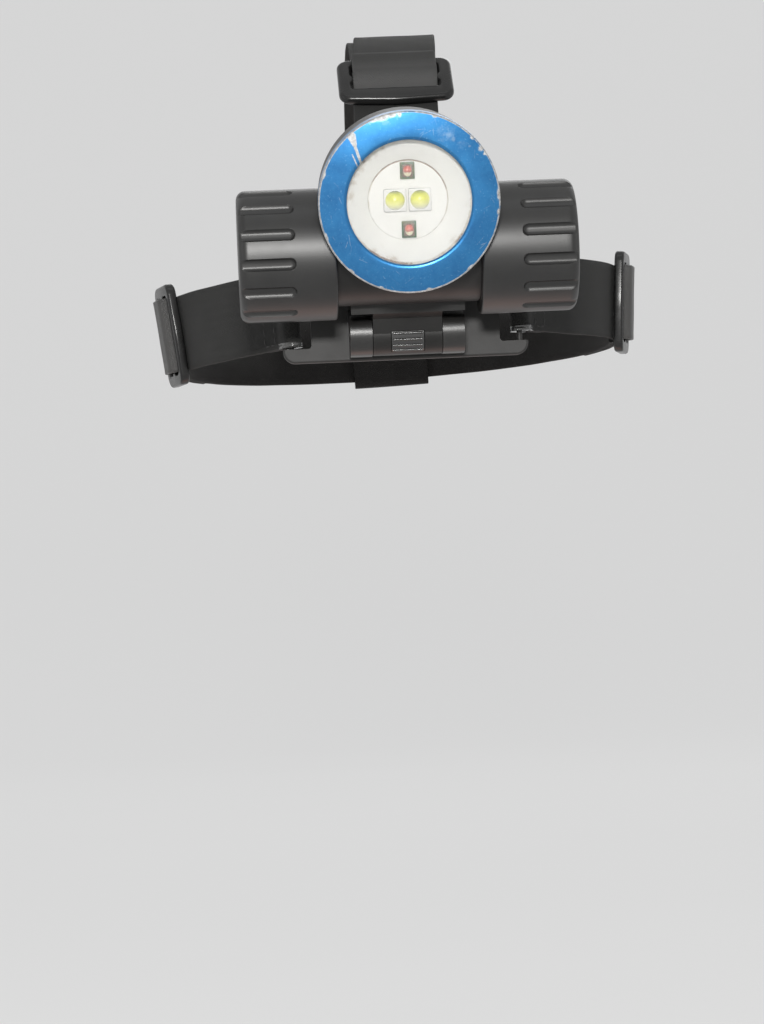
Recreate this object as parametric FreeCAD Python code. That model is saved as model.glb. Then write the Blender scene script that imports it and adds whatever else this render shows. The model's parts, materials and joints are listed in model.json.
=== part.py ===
import FreeCAD, Part
import math
import os

os.makedirs("parts", exist_ok=True)

V = FreeCAD.Vector

# Millimetres. +Z is up, the lamp looks along -Y and +X is the wearer's left.
# Pieces named right lie at +X, which is to the right for someone facing the lamp.
# The origin is the centre of the head opening, halfway up the headband.

# Head opening and webbing
head_half_width = 75.0
head_half_length = 95.0
head_crown_height = 95.5
webbing_width = 25.0
top_webbing_width = 27.5
webbing_thickness = 1.6
webbing_gap = 0.1
band_lean_deg = 5.5
band_slant_deg = 1.85
band_tip_deg = 1.26
band_drop = 1.6
band_turn = 0.023
top_strap_lean = 0.065
band_tail_angle_deg = -25.0
top_tail_angle_deg = -22.0
rear_strap_lead_deg = 6.0
rear_loop_spread_deg = 12.0
rear_loop_play = 0.2
rear_loop_gap = 1.0
sewn_return_length = 16.0

# Strap adjusters
side_buckle_angle_deg = 16.0
top_buckle_angle_deg = 41.5
buckle_thickness = 3.2
buckle_bow = 1.3
buckle_bow_radius = 40.0
buckle_corner = 4.0
buckle_edge_radius = 0.9
buckle_bar = 3.4
buckle_end_bar = 3.4
buckle_side_bar = 4.05
buckle_slot = 4.9
buckle_slot_play = 1.4
buckle_slot_corner = 0.8
hump_play = 0.8
hump_lean = 2.4
hump_bend_radius = 2.4
slide_clearance = 0.3

# Front plate
plate_width = 79.0
plate_frame = 3.2
plate_thickness = 3.5
plate_standoff = 2.0
plate_corner = 4.0
plate_edge_radius = 0.8
plate_tab_frame = 3.1
plate_tab_height = 7.4
plate_tab_fillet = 2.0
strap_bar_radius = 0.9
strap_bar_play = 0.6
strap_bar_inset = 2.7
strap_bar_root = 0.5
strap_slot_play = 3.8
strap_slot_rise = 0.5
plate_sole = 0.9
strap_slot_reach = 6.5
strap_slot_corner = 1.2

# Tilt hinge
knuckle_radius = 7.0
knuckle_width = 7.0
knuckle_spacing = 22.4
knuckle_side_play = 0.2
knuckle_sink = 0.5
knuckle_web_flare = 1.6
knuckle_web_root = 0.5
hinge_height = -10.4
pin_radius = 1.5
pin_play = 0.05
pin_recess = 0.3
lamp_tilt_deg = 12.7

# Thumb latch in the middle knuckle
latch_width = 10.3
latch_height = 6.9
latch_direction_deg = 29.0
latch_depth = 1.65
latch_travel = 0.9
latch_play = 0.25
latch_ridge_count = 4
latch_ridge_radius = 0.45
latch_ridge_pitch_deg = 16.7
latch_ridge_inset = 0.5
latch_leaf_thickness = 0.2
latch_leaf_inset = 0.5

# Lamp barrel and battery tube, measured from the hinge axis with the lamp level
tube_forward = 12.2
tube_rise = 28.0
barrel_rise = 46.5
barrel_rear = 3.0
barrel_step = 2.4
barrel_shoulder = 12.0
barrel_shoulder_rounding = 9.0
barrel_rear_radius = 19.0
barrel_rear_rounding = 3.0
front_bore_radius = 21.0
front_neck_wall = 3.9
front_wall = 2.4
edge_rounding = 0.4

# Bezel ring, window and reflector
bezel_overhang = 0.7
bezel_inset = 1.8
bezel_depth = 5.2
bezel_bevel = 0.9
bezel_inner_bevel = 0.7
bezel_lip = 1.6
thread_play = 0.1
lens_thickness = 1.8
lens_play = 0.2
seal_half_width = 0.6
seal_height = 1.2
seal_play = 0.05
dish_rim = 1.1
dish_wall = 1.4
dish_slope_drop = 4.2
led_disc_radius = 12.3
led_disc_thickness = 1.5
led_disc_play = 0.15
spreader_thickness = 1.4

# Light emitters
white_led_size = 7.0
white_led_corner = 0.4
white_led_gap = 0.7
white_led_shift = -0.2
white_led_thickness = 0.9
white_dome_radius = 3.0
white_dome_height = 2.3
red_board_width = 4.5
red_board_height = 5.2
red_board_thickness = 0.8
red_board_inset = 0.6
red_base_size = 3.2
red_base_thickness = 0.7
red_dome_radius = 1.35

# Driver and switch chamber above the battery tube
chamber_rise = 8.5
chamber_radius = 9.5
board_play = 0.1
board_thickness = 1.2
board_setback = 4.0
board_coil_radius = 3.4
board_coil_bore = 1.5
board_coil_height = 2.6
board_coil_rise = 2.5
board_chip_width = 3.2
board_chip_length = 3.0
board_chip_height = 1.1
board_chip_drop = 4.0
board_chip_spacing = 9.0
switch_body_radius = 5.2
switch_body_length = 5.0
switch_plunger_radius = 1.6
switch_plunger_gap = 0.3
switch_wall = 3.4
switch_spring_pocket = 1.4
button_radius = 5.4
button_height = 3.9
button_crown = 0.2
button_crown_width = 3.0
button_shoulder = 0.8
button_travel = 1.5
button_stop_gap = 0.2
button_stem_radius = 2.2
button_stem_length = 6.2
button_play = 0.3
retainer_wall = 1.9
retainer_height = 2.4
retainer_stand = 0.8
retainer_play = 0.05
switch_spring_radius = 3.3
switch_spring_wire = 0.35
switch_spring_turns = 2

# Cells, screw caps and contacts
cell_radius = 13.1
cell_length = 35.0
cell_play = 0.3
cell_button_radius = 4.2
cell_button_height = 1.0
neck_wall = 2.6
neck_length = 12.0
tube_step = 0.5
cap_gap = 44.4
cap_wall = 4.45
cap_play = 0.3
cap_face_gap = 0.2
cap_neck_gap = 0.6
cap_cell_play = 0.7
cap_edge_radius = 3.0
cap_end_wall = 3.4
cap_rim_rounding = 0.8
groove_count = 14
groove_radius = 2.3
groove_rise = 1.2
groove_length = 17.7
left_groove_angle_deg = -0.8
right_groove_angle_deg = 3.5
centre_wall_half = 6.0
contact_thickness = 0.8
contact_radius = 6.0
contact_gap = 0.1
cap_contact_radius = 9.0
spring_space = 5.6
spring_radius = 6.5
spring_wire = 0.9
spring_turns = 2
ring_width = 1.8
ring_offset = 2.0
ring_depth = 1.1
ring_stand = 0.15
ring_play = 0.05

# Hinge arm and its screws
saddle_width = 36.0
saddle_thickness = 3.0
saddle_half_angle_deg = 25.0
arm_thickness = 9.0
arm_flare = 2.0
arm_flare_height = 1.5
arm_screw_spacing = 29.0
arm_screw_radius = 1.2
arm_screw_head_radius = 2.2
arm_screw_head_height = 1.3
arm_screw_head_play = 0.15
arm_screw_slot_width = 0.6
arm_screw_slot_depth = 0.5
arm_screw_reach = 2.2
arm_screw_tip_gap = 0.2
arm_screw_play = 0.05

# Straps and adjusters worked out from the sizes above
webbing_level = webbing_thickness + webbing_gap
band_half_width = head_half_width + webbing_level
band_half_length = head_half_length + webbing_level
crown_half_height = head_crown_height + webbing_level
band_lean = webbing_width / 2 * math.tan(math.radians(band_lean_deg))
rear_loop_half_height = webbing_width / 2 + webbing_thickness + 2 * slide_clearance
buckle_slot_length = webbing_width + buckle_slot_play
buckle_half_width = buckle_slot_length / 2 + buckle_side_bar
buckle_half_length = buckle_bar / 2 + buckle_slot + buckle_end_bar
hump_height = buckle_thickness + hump_play + webbing_thickness

# Front plate and hinge worked out
plate_slot_length = webbing_width + strap_slot_play
plate_half_width = plate_width / 2
plate_half_height = plate_slot_length / 2 + plate_frame
plate_tab_half_width = plate_slot_length / 2 + plate_tab_frame
plate_back = -(head_half_length + plate_standoff)
plate_front = plate_back - plate_thickness
hinge_y = plate_front + knuckle_sink - knuckle_radius
bar_y = (plate_back + plate_front) / 2
side_bar_x = plate_half_width - strap_bar_inset
top_bar_z = plate_half_height + plate_tab_height - strap_bar_inset
top_spread = top_webbing_width / webbing_width
top_buckle_q = band_half_length * math.sin(math.radians(top_buckle_angle_deg))
top_buckle_x = top_strap_lean * (-bar_y - top_buckle_q)
rear_shift = band_turn * (band_half_length - bar_y)
loop_inner_radius = strap_bar_radius + strap_bar_play
loop_outer_radius = loop_inner_radius + webbing_thickness
knuckle_inner = knuckle_spacing / 2
knuckle_outer = knuckle_inner + knuckle_width
arm_half_width = knuckle_inner - knuckle_side_play

# Battery tube worked out
cell_bore_radius = cell_radius + cell_play
neck_radius = cell_bore_radius + neck_wall
tube_radius = neck_radius + tube_step
cap_bore_radius = neck_radius + cap_play
cap_radius = cap_bore_radius + cap_wall
cell_start_x = centre_wall_half + contact_thickness + cell_button_height + contact_gap
cell_end_x = cell_start_x + cell_length
cap_inner_x = cap_gap / 2
cap_inside_x = cell_end_x + spring_space + contact_thickness + contact_gap
cap_outer_x = cap_inside_x + cap_end_wall
neck_end_x = cap_inner_x + neck_length

# Barrel worked out, from the wall in front of the cells to the face of the bezel ring
spreader_back = -(tube_forward + cell_bore_radius + front_wall)
disc_back = spreader_back - spreader_thickness
disc_front = disc_back - led_disc_thickness
dish_front = disc_front - dish_slope_drop
neck_front = dish_front - thread_play
lens_back = neck_front - thread_play
lens_front = lens_back - lens_thickness
bezel_front = lens_front - bezel_lip
rim_back = bezel_front + bezel_depth
housing_front = rim_back + thread_play
dish_radius = front_bore_radius - thread_play
dish_flat_radius = dish_radius - dish_rim
front_neck_radius = front_bore_radius + front_neck_wall
barrel_radius = front_neck_radius + barrel_step
bezel_radius = barrel_radius + bezel_overhang
bezel_opening_radius = front_bore_radius - bezel_inset
seal_groove_radius = (front_neck_radius + front_bore_radius) / 2
white_led_spacing = white_led_size + white_led_gap
red_led_rise = led_disc_radius - red_board_height / 2 - red_board_inset

# Driver and switch worked out
chamber_z = barrel_rise + chamber_rise
retainer_front = -barrel_rear - retainer_height
retainer_outer = button_radius + button_play + retainer_wall
chamber_back = retainer_front - switch_wall
spring_ledge = chamber_back + switch_spring_pocket
board_front = spreader_back + board_setback
button_seat = retainer_front + button_travel + button_stop_gap
button_end = button_seat - button_stem_length

# Arm and latch worked out
tube_distance = math.hypot(tube_forward, tube_rise)
tube_angle = math.atan2(tube_rise, tube_forward)
to_tube = V(0, -math.cos(tube_angle), math.sin(tube_angle))
across_arm = V(0, -math.sin(tube_angle), -math.cos(tube_angle))
saddle_bottom = tube_distance - tube_radius - saddle_thickness
latch_angle = math.radians(latch_direction_deg - lamp_tilt_deg)
latch_out = V(0, -math.cos(latch_angle), -math.sin(latch_angle))
latch_side = V(0, -math.sin(latch_angle), math.cos(latch_angle))
latch_floor = knuckle_radius - latch_depth - latch_travel - latch_leaf_thickness


# Small helpers

def outline(corners, place):
    """Closed wire through corners (u, v, radius), each corner rounded by its radius."""
    count = len(corners)
    starts = []
    middles = []
    ends = []
    for index, (u, v, radius) in enumerate(corners):
        here = V(u, v, 0)
        before = V(*corners[index - 1][:2], 0)
        after = V(*corners[(index + 1) % count][:2], 0)
        to_before = (before - here).normalize()
        to_after = (after - here).normalize()
        half = to_before.getAngle(to_after) / 2
        reach = radius / math.tan(half) if radius else 0
        starts.append(here + to_before * reach)
        ends.append(here + to_after * reach)
        bisector = to_before + to_after
        if radius:
            bisector.normalize()
        middles.append(here + bisector * (radius / math.sin(half) - radius))
    edges = []
    for index in range(count):
        start = place(starts[index].x, starts[index].y)
        end = place(ends[index].x, ends[index].y)
        if corners[index][2] > 0:
            middle = place(middles[index].x, middles[index].y)
            edges.append(Part.Arc(start, middle, end).toShape())
        following = starts[(index + 1) % count]
        onward = place(following.x, following.y)
        if end.distanceToPoint(onward) > 1e-6:
            edges.append(Part.makeLine(end, onward))
    return Part.Wire(edges)


def slab(corners, place, thickness):
    """Rounded outline given thickness by the vector named last."""
    return Part.Face(outline(corners, place)).extrude(thickness)


def turned_y(corners, z):
    """Solid turned about the line along Y at height z; corners are (radius, y, rounding)."""
    face = Part.Face(outline(corners, lambda r, y: V(r, y, z)))
    return face.revolve(V(0, 0, z), V(0, 1, 0), 360)


def turned_x(corners):
    """Solid turned about the battery tube's axis; corners are (x, radius, rounding)."""
    face = Part.Face(outline(corners, lambda x, r: V(x, -tube_forward, tube_rise + r)))
    return face.revolve(V(0, -tube_forward, tube_rise), V(1, 0, 0), 360)


def rod_y(radius, front, back, z, x=0.0):
    return Part.makeCylinder(radius, back - front, V(x, front, z), V(0, 1, 0))


def rod_x(radius, start, end, y=0.0, z=0.0):
    return Part.makeCylinder(radius, end - start, V(start, y, z), V(1, 0, 0))


def block(low, high):
    size = V(*high) - V(*low)
    return Part.makeBox(size.x, size.y, size.z, V(*low))


def ring_y(outer, inner, front, back, z):
    return rod_y(outer, front, back, z).cut(rod_y(inner, front - 1, back + 1, z))


def mirrored(shape):
    return shape.mirror(V(0, 0, 0), V(1, 0, 0))


def placed(shape, origin, u, v, w):
    """Move a shape drawn on (u, v, w) axes to its place."""
    matrix = FreeCAD.Matrix(
        u.x, v.x, w.x, origin.x,
        u.y, v.y, w.y, origin.y,
        u.z, v.z, w.z, origin.z,
        0, 0, 0, 1)
    moved = shape.copy()
    moved.Placement = FreeCAD.Placement(matrix).multiply(moved.Placement)
    return moved


def on_lamp(shape):
    """Tilt a lamp piece about the hinge axis and carry it to the front plate."""
    moved = shape.copy()
    moved.rotate(V(0, 0, 0), V(1, 0, 0), lamp_tilt_deg)
    moved.translate(V(0, hinge_y, hinge_height))
    return moved


def slanted(shape):
    """Set a piece of the headband as it sits: slanted, with its front tipped up, and lowered."""
    turned = shape.copy()
    turned.rotate(V(0, 0, 0), V(0, 1, 0), -band_slant_deg)
    turned.rotate(V(0, 0, 0), V(1, 0, 0), -band_tip_deg)
    turned.translate(V(0, 0, -band_drop))
    return turned


def group(shapes):
    return Part.makeCompound(shapes)


def save(name, shape):
    solids = shape.Solids
    if not all(solid.isValid() for solid in solids):
        print("not valid:", name)
    kept = solids[0] if len(solids) == 1 else Part.makeCompound(solids)
    kept.exportStep("parts/" + name + ".step")
    box = kept.BoundBox
    volume = sum(solid.Volume for solid in solids)
    print("%-20s solids %d volume %9.1f faces %d box %s" % (
        name, len(solids), volume, len(kept.Faces),
        [round(n, 1) for n in (box.XMin, box.XMax, box.YMin, box.YMax, box.ZMin, box.ZMax)]))


# Webbing on ovals: p runs sideways on the band and up on the top strap, q runs forward

def oval(half_p, half_q, angle, offset):
    """Point of an oval moved outward by offset; angle 0 lies on p, a quarter turn on q."""
    point = V(half_p * math.cos(angle), half_q * math.sin(angle), 0)
    return point + oval_normal(half_p, half_q, angle) * offset


def oval_normal(half_p, half_q, angle):
    return V(math.cos(angle) / half_p, math.sin(angle) / half_q, 0).normalize()


def leaving_angle(half_p, half_q, bar):
    """Angle at which a strap pulled from the bar touches the oval."""
    reach = math.hypot(bar.x / half_p, bar.y / half_q)
    return math.atan2(bar.y / half_q, bar.x / half_p) - math.acos(1 / reach)


def oval_edge(half_p, half_q, start, end, offset, place):
    """Smooth edge along an oval, one point about every ten degrees."""
    steps = max(4, math.ceil(abs(end - start) / math.radians(10)))
    points = []
    for index in range(steps + 1):
        angle = start + (end - start) * index / steps
        flat = oval(half_p, half_q, angle, offset)
        points.append(place(flat.x, flat.y))
    curve = Part.BSplineCurve()
    curve.interpolate(points)
    return curve.toShape()


def band_section(half_p, half_q, start, end, inner, outer, place, bar=None):
    """Closed section of webbing between two offsets, led straight to a bar if one is named."""
    out_edge = oval_edge(half_p, half_q, start, end, outer, place)
    in_edge = oval_edge(half_p, half_q, end, start, inner, place)
    out_end = oval(half_p, half_q, end, outer)
    in_end = oval(half_p, half_q, end, inner)
    out_start = oval(half_p, half_q, start, outer)
    in_start = oval(half_p, half_q, start, inner)
    far_cap = Part.makeLine(place(out_end.x, out_end.y), place(in_end.x, in_end.y))
    if bar is None:
        near_cap = Part.makeLine(place(in_start.x, in_start.y), place(out_start.x, out_start.y))
        return Part.Wire([out_edge, far_cap, in_edge, near_cap])
    normal = oval_normal(half_p, half_q, start)
    out_bar = bar + normal * outer
    in_bar = bar + normal * inner
    out_run = Part.makeLine(place(out_bar.x, out_bar.y), place(out_start.x, out_start.y))
    in_run = Part.makeLine(place(in_start.x, in_start.y), place(in_bar.x, in_bar.y))
    near_cap = Part.makeLine(place(in_bar.x, in_bar.y), place(out_bar.x, out_bar.y))
    return Part.Wire([out_run, out_edge, far_cap, in_edge, in_run, near_cap])


def side_place(height, turn):
    """Place a flat band point; the band moves sideways by turn per millimetre behind the bars."""
    return lambda p, q: V(p + turn * (-bar_y - q), -q, height)


def top_place(across, lean, hold):
    """Place a flat point of the top strap, which leans sideways from where q equals hold."""
    return lambda p, q: V(across + lean * (hold - q), -q, p)


def band_piece(start, end, inner, outer, half_height=webbing_width / 2, bar=None, side=1):
    """Headband webbing, wider at its top edge by the lean of the temples."""
    lean = band_lean * half_height / (webbing_width / 2)
    wires = []
    for edge in (-1, 1):
        half_p = band_half_width + edge * lean
        first = leaving_angle(half_p, band_half_length, bar) if bar else start
        wires.append(band_section(half_p, band_half_length, first, end, inner, outer,
                                  side_place(edge * half_height, side * band_turn), bar))
    return Part.makeLoft(wires, True, True)


def top_piece(start, end, inner, outer, place, bar=None):
    """Top strap webbing over the crown."""
    first = leaving_angle(crown_half_height, band_half_length, bar) if bar else start
    wire = band_section(crown_half_height, band_half_length, first, end, inner, outer, place, bar)
    return Part.Face(wire).extrude(V(top_webbing_width, 0, 0))


def strap_return(half_p, bar, place, width):
    """Sewn-back end of a strap: it lies on the head side for a short run from its bar."""
    angle = leaving_angle(half_p, band_half_length, bar)
    normal = oval_normal(half_p, band_half_length, angle)
    along = (oval(half_p, band_half_length, angle, 0) - bar).normalize()
    corners = []
    for run, level in ((0, -webbing_level), (sewn_return_length, -webbing_level),
                       (sewn_return_length, -webbing_gap), (0, -webbing_gap)):
        point = bar + along * run + normal * level
        corners.append((point.x, point.y, 0))
    return slab(corners, place, width)


# Straps

def front_band(side):
    """Webbing from the plate's end bar along the temple, drawn for the wearer's left side."""
    bar = V(side_bar_x, -bar_y, 0)
    end = math.radians(band_tail_angle_deg)
    webbing = band_piece(None, end, webbing_gap, webbing_level, bar=bar, side=side)
    foot = -webbing_width / 2
    up = V(0, 0, webbing_width)
    place = side_place(foot, side * band_turn)
    webbing = webbing.fuse(strap_return(band_half_width, bar, place, up))
    centre = V(side_bar_x, bar_y, foot)
    loop = Part.makeCylinder(loop_outer_radius, webbing_width, centre)
    bore = Part.makeCylinder(loop_inner_radius, webbing_width + 2, centre - V(0, 0, 1))
    return webbing.fuse(loop).cut(bore).removeSplitter()


def rear_band():
    """Webbing round the back of the head, between the two side adjusters."""
    start = math.radians(side_buckle_angle_deg - rear_strap_lead_deg)
    return band_piece(start, -math.pi - start, -webbing_level, -webbing_gap)


def front_top_strap():
    """Webbing from the plate's top bar through the top adjuster and back over the crown."""
    bar = V(top_bar_z, -bar_y, 0)
    end = math.radians(top_tail_angle_deg)
    half = top_webbing_width / 2
    place = top_place(-half, top_strap_lean, -bar_y)
    webbing = top_piece(None, end, webbing_gap, webbing_level, place, bar)
    across = V(top_webbing_width, 0, 0)
    webbing = webbing.fuse(strap_return(crown_half_height, bar, place, across))
    loop = rod_x(loop_outer_radius, -half, half, bar_y, top_bar_z)
    bore = rod_x(loop_inner_radius, -half - 1, half + 1, bar_y, top_bar_z)
    return webbing.fuse(loop).cut(bore).removeSplitter()


def rear_top_strap():
    """Webbing from the top adjuster over the crown to the back of the headband."""
    start = math.radians(top_buckle_angle_deg - rear_strap_lead_deg)
    rear_drop = band_drop + band_half_length * math.sin(math.radians(band_tip_deg))
    end = -math.acos((rear_loop_half_height + rear_loop_gap - rear_drop) / crown_half_height)
    lean = (rear_shift - top_buckle_x) / (top_buckle_q + band_half_length)
    hold = top_buckle_q + top_buckle_x / lean
    place = top_place(-top_webbing_width / 2, lean, hold)
    return top_piece(start, end, -webbing_level, -webbing_gap, place)


def rear_strap_loop():
    """Folded end of the top strap, sewn round the back of the headband."""
    spread = math.radians(rear_loop_spread_deg)
    back = -math.pi / 2
    inside = -webbing_level - rear_loop_play
    outer = band_piece(back + spread, back - spread, inside - webbing_thickness,
                       webbing_level, rear_loop_half_height)
    cavity = band_piece(back + 2 * spread, back - 2 * spread, inside,
                        webbing_gap, rear_loop_half_height - webbing_thickness)
    half = top_webbing_width / 2
    window = block((rear_shift - half, 0, -webbing_width),
                   (rear_shift + half, 2 * head_half_length, webbing_width))
    return outer.cut(cavity).common(window)


# Strap adjusters, drawn with u along the webbing, v across it and w away from the head

def buckle(spread=1.0):
    """Three-bar slide with bowed end bars and two slots; spread enlarges it in its plane."""
    u = buckle_half_length * spread
    v = buckle_half_width * spread
    corners = [
        (-u, -v, buckle_corner), (u, -v, buckle_corner), (u + buckle_bow, 0, buckle_bow_radius),
        (u, v, buckle_corner), (-u, v, buckle_corner), (-u - buckle_bow, 0, buckle_bow_radius)]
    frame = slab(corners, lambda a, b: V(a, b, 0), V(0, 0, buckle_thickness))
    rims = [edge for edge in frame.Edges if edge.BoundBox.ZLength < 1e-6]
    frame = frame.makeFillet(buckle_edge_radius, rims)
    slot_half = buckle_slot_length / 2 * spread
    corner = buckle_slot_corner
    for side in (-1, 1):
        near = side * buckle_bar / 2 * spread
        far = side * (buckle_bar / 2 + buckle_slot) * spread
        slot = slab([(near, -slot_half, corner), (far, -slot_half, corner),
                     (far, slot_half, corner), (near, slot_half, corner)],
                    lambda a, b: V(a, b, -1), V(0, 0, buckle_thickness + 2))
        frame = frame.cut(slot)
    return frame


def buckle_hump(spread=1.0):
    """Webbing that rises through one slot, crosses the middle bar and dips into the other."""
    foot = (buckle_bar / 2 + buckle_slot) * spread - slide_clearance
    shoulder = foot - hump_lean
    top = hump_height
    under = top - webbing_thickness
    step = webbing_thickness * math.hypot(1, hump_lean / top)
    inside = foot - hump_lean * under / top - step
    bend = hump_bend_radius
    fold = hump_bend_radius - webbing_thickness
    corners = [
        (-foot, 0, 0), (-shoulder, top, bend), (shoulder, top, bend), (foot, 0, 0),
        (foot - step, 0, 0), (inside, under, fold), (-inside, under, fold), (step - foot, 0, 0)]
    half = webbing_width / 2 * spread
    return slab(corners, lambda a, b: V(a, -half, b), V(0, 2 * half, 0))


def at_side(shape, side):
    """Carry an adjuster piece to the wearer's left temple, shifted for the side it ends on."""
    angle = math.radians(side_buckle_angle_deg)
    level = webbing_level + slide_clearance
    flat = oval(band_half_width, band_half_length, angle, level)
    normal = oval_normal(band_half_width, band_half_length, angle)
    out = V(normal.x, -normal.y, 0)
    up = V(0, 0, 1)
    lean = math.radians(band_lean_deg) * math.cos(angle)
    v = out * math.sin(lean) + up * math.cos(lean)
    w = out * math.cos(lean) - up * math.sin(lean)
    shift = side * band_turn * (-bar_y - flat.y)
    return placed(shape, V(flat.x + shift, -flat.y, 0), v.cross(w), v, w)


def at_top(shape):
    """Carry an adjuster piece to its place above the forehead."""
    angle = math.radians(top_buckle_angle_deg)
    level = webbing_level + slide_clearance
    flat = oval(crown_half_height, band_half_length, angle, level)
    normal = oval_normal(crown_half_height, band_half_length, angle)
    w = V(0, -normal.y, normal.x)
    v = V(1, 0, 0)
    return placed(shape, V(top_buckle_x, -flat.y, flat.x), v.cross(w), v, w)


# Front plate and hinge

def strap_slot(inner, outer, length, place):
    """Cutter for a strap's slot; a runs outward from the plate's middle, b along the bar."""
    half = length / 2
    corners = [(inner, -half, strap_slot_corner), (outer, -half, 0), (outer, half, 0),
               (inner, half, strap_slot_corner)]
    return slab(corners, place, V(0, plate_thickness + 2, 0))


def front_plate():
    """Moulded plate with a strap bar at each end and on top, and the two hinge knuckles."""
    half_x = plate_half_width
    half_z = plate_half_height
    tab_x = plate_tab_half_width
    tab_z = half_z + plate_tab_height
    foot_z = -half_z - plate_sole
    corners = [
        (-half_x, foot_z, plate_corner), (half_x, foot_z, plate_corner),
        (half_x, half_z, plate_corner), (tab_x, half_z, plate_tab_fillet),
        (tab_x, tab_z, plate_corner), (-tab_x, tab_z, plate_corner),
        (-tab_x, half_z, plate_tab_fillet), (-half_x, half_z, plate_corner)]
    plate = slab(corners, lambda x, z: V(x, plate_front, z), V(0, plate_thickness, 0))
    rims = [edge for edge in plate.Edges if abs(edge.BoundBox.YMax - plate_front) < 1e-6]
    plate = plate.makeFillet(plate_edge_radius, rims)
    slot_length = plate_slot_length
    bar_half = slot_length / 2 + strap_bar_root
    for side in (-1, 1):
        plate = plate.cut(strap_slot(side_bar_x - strap_slot_reach, side_bar_x + loop_outer_radius,
                                     slot_length,
                                     lambda a, b: V(side * a, plate_front - 1,
                                                    b + strap_slot_rise)))
    plate = plate.cut(strap_slot(top_bar_z - strap_slot_reach, top_bar_z + loop_outer_radius,
                                 slot_length, lambda a, b: V(b, plate_front - 1, a)))
    for side in (-1, 1):
        foot = V(side * side_bar_x, bar_y, strap_slot_rise - bar_half)
        plate = plate.fuse(Part.makeCylinder(strap_bar_radius, 2 * bar_half, foot))
    plate = plate.fuse(rod_x(strap_bar_radius, -bar_half, bar_half, bar_y, top_bar_z))
    for side in (-1, 1):
        start = min(side * knuckle_inner, side * knuckle_outer)
        plate = plate.fuse(knuckle(start, knuckle_width))
    bore = rod_x(pin_radius + pin_play, -knuckle_outer - 1, knuckle_outer + 1,
                 hinge_y, hinge_height)
    plate = plate.cut(bore)
    relief = rod_x(knuckle_radius + 2 * slide_clearance, -knuckle_inner + 0.001,
                   knuckle_inner - 0.001, hinge_y, hinge_height)
    return plate.cut(relief).removeSplitter()


def knuckle(start, width):
    """Hinge barrel on the plate, with a web that spreads into the plate's face."""
    barrel = rod_x(knuckle_radius, start, start + width, hinge_y, hinge_height)
    top = hinge_height + knuckle_radius
    bottom = hinge_height - knuckle_radius
    root = plate_front + knuckle_web_root
    corners = [
        (hinge_y, top, 0), (root, top + knuckle_web_flare, 0), (root, bottom, 0),
        (hinge_y, bottom, 0)]
    web = slab(corners, lambda y, z: V(start, y, z), V(width, 0, 0))
    return barrel.fuse(web)


def hinge_pin():
    """Plain steel pin, its ends sunk a little in the outer knuckles."""
    half = knuckle_outer - pin_recess
    return rod_x(pin_radius, -half, half, hinge_y, hinge_height)


# Lamp pieces, drawn level about the hinge axis

def arm_place(x):
    """Plane of the arm: u across it, v from the hinge axis towards the battery tube."""
    return lambda u, v: V(x, 0, 0) + across_arm * u + to_tube * v


def latch_block(half_width, half_height, start, end):
    """Box on the latch's own axes: x, along the curve of the knuckle, and outward."""
    raw = Part.makeBox(2 * half_width, 2 * half_height, end - start,
                       V(-half_width, -half_height, start))
    return placed(raw, V(0, 0, 0), V(1, 0, 0), latch_side, latch_out)


def screw_axis(side):
    return V(side * arm_screw_spacing / 2, 0, 0)


def saddle_sector(inner, outer, half_angle, half_width):
    """Part of a ring round the battery tube, centred on the side that faces the hinge."""
    centre = V(-half_width, -tube_forward, tube_rise)
    ring = Part.makeCylinder(outer, 2 * half_width, centre, V(1, 0, 0))
    ring = ring.cut(Part.makeCylinder(inner, 2 * half_width + 2, centre - V(1, 0, 0), V(1, 0, 0)))
    reach = 2 * outer
    tip = -to_tube * reach
    left = tip + across_arm * reach * math.tan(half_angle)
    right = tip - across_arm * reach * math.tan(half_angle)
    wedge = Part.makePolygon([centre, centre + left, centre + right, centre])
    return ring.common(Part.Face(wedge).extrude(V(2 * half_width, 0, 0)))


def hinge_arm():
    """Middle knuckle, its neck and the saddle that is screwed under the battery tube."""
    barrel = rod_x(knuckle_radius, -arm_half_width, arm_half_width)
    saddle = saddle_sector(tube_radius, tube_radius + saddle_thickness,
                           math.radians(saddle_half_angle_deg), saddle_width / 2)
    waist = arm_thickness / 2
    low = knuckle_radius + arm_flare_height
    high = saddle_bottom + arm_flare_height
    corners = [
        (-knuckle_radius, 0, 0), (-waist, low, 0), (-waist - arm_flare, high, 0),
        (waist + arm_flare, high, 0), (waist, low, 0), (knuckle_radius, 0, 0)]
    neck = slab(corners, arm_place(-arm_half_width), V(2 * arm_half_width, 0, 0))
    arm = barrel.fuse(neck).fuse(saddle)
    arm = arm.cut(rod_x(pin_radius + pin_play, -saddle_width, saddle_width))
    arm = arm.cut(latch_block(latch_width / 2 + latch_play, latch_height / 2 + latch_play,
                              latch_floor, knuckle_radius * 2))
    for side in (-1, 1):
        foot = screw_axis(side) + to_tube * (saddle_bottom - 1)
        seat = arm_screw_head_height + 1
        recess_radius = arm_screw_head_radius + arm_screw_head_play
        arm = arm.cut(Part.makeCylinder(recess_radius, seat, foot, to_tube))
        arm = arm.cut(Part.makeCylinder(arm_screw_radius + arm_screw_play,
                                        saddle_thickness + 2, foot, to_tube))
    return arm.removeSplitter()


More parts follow.
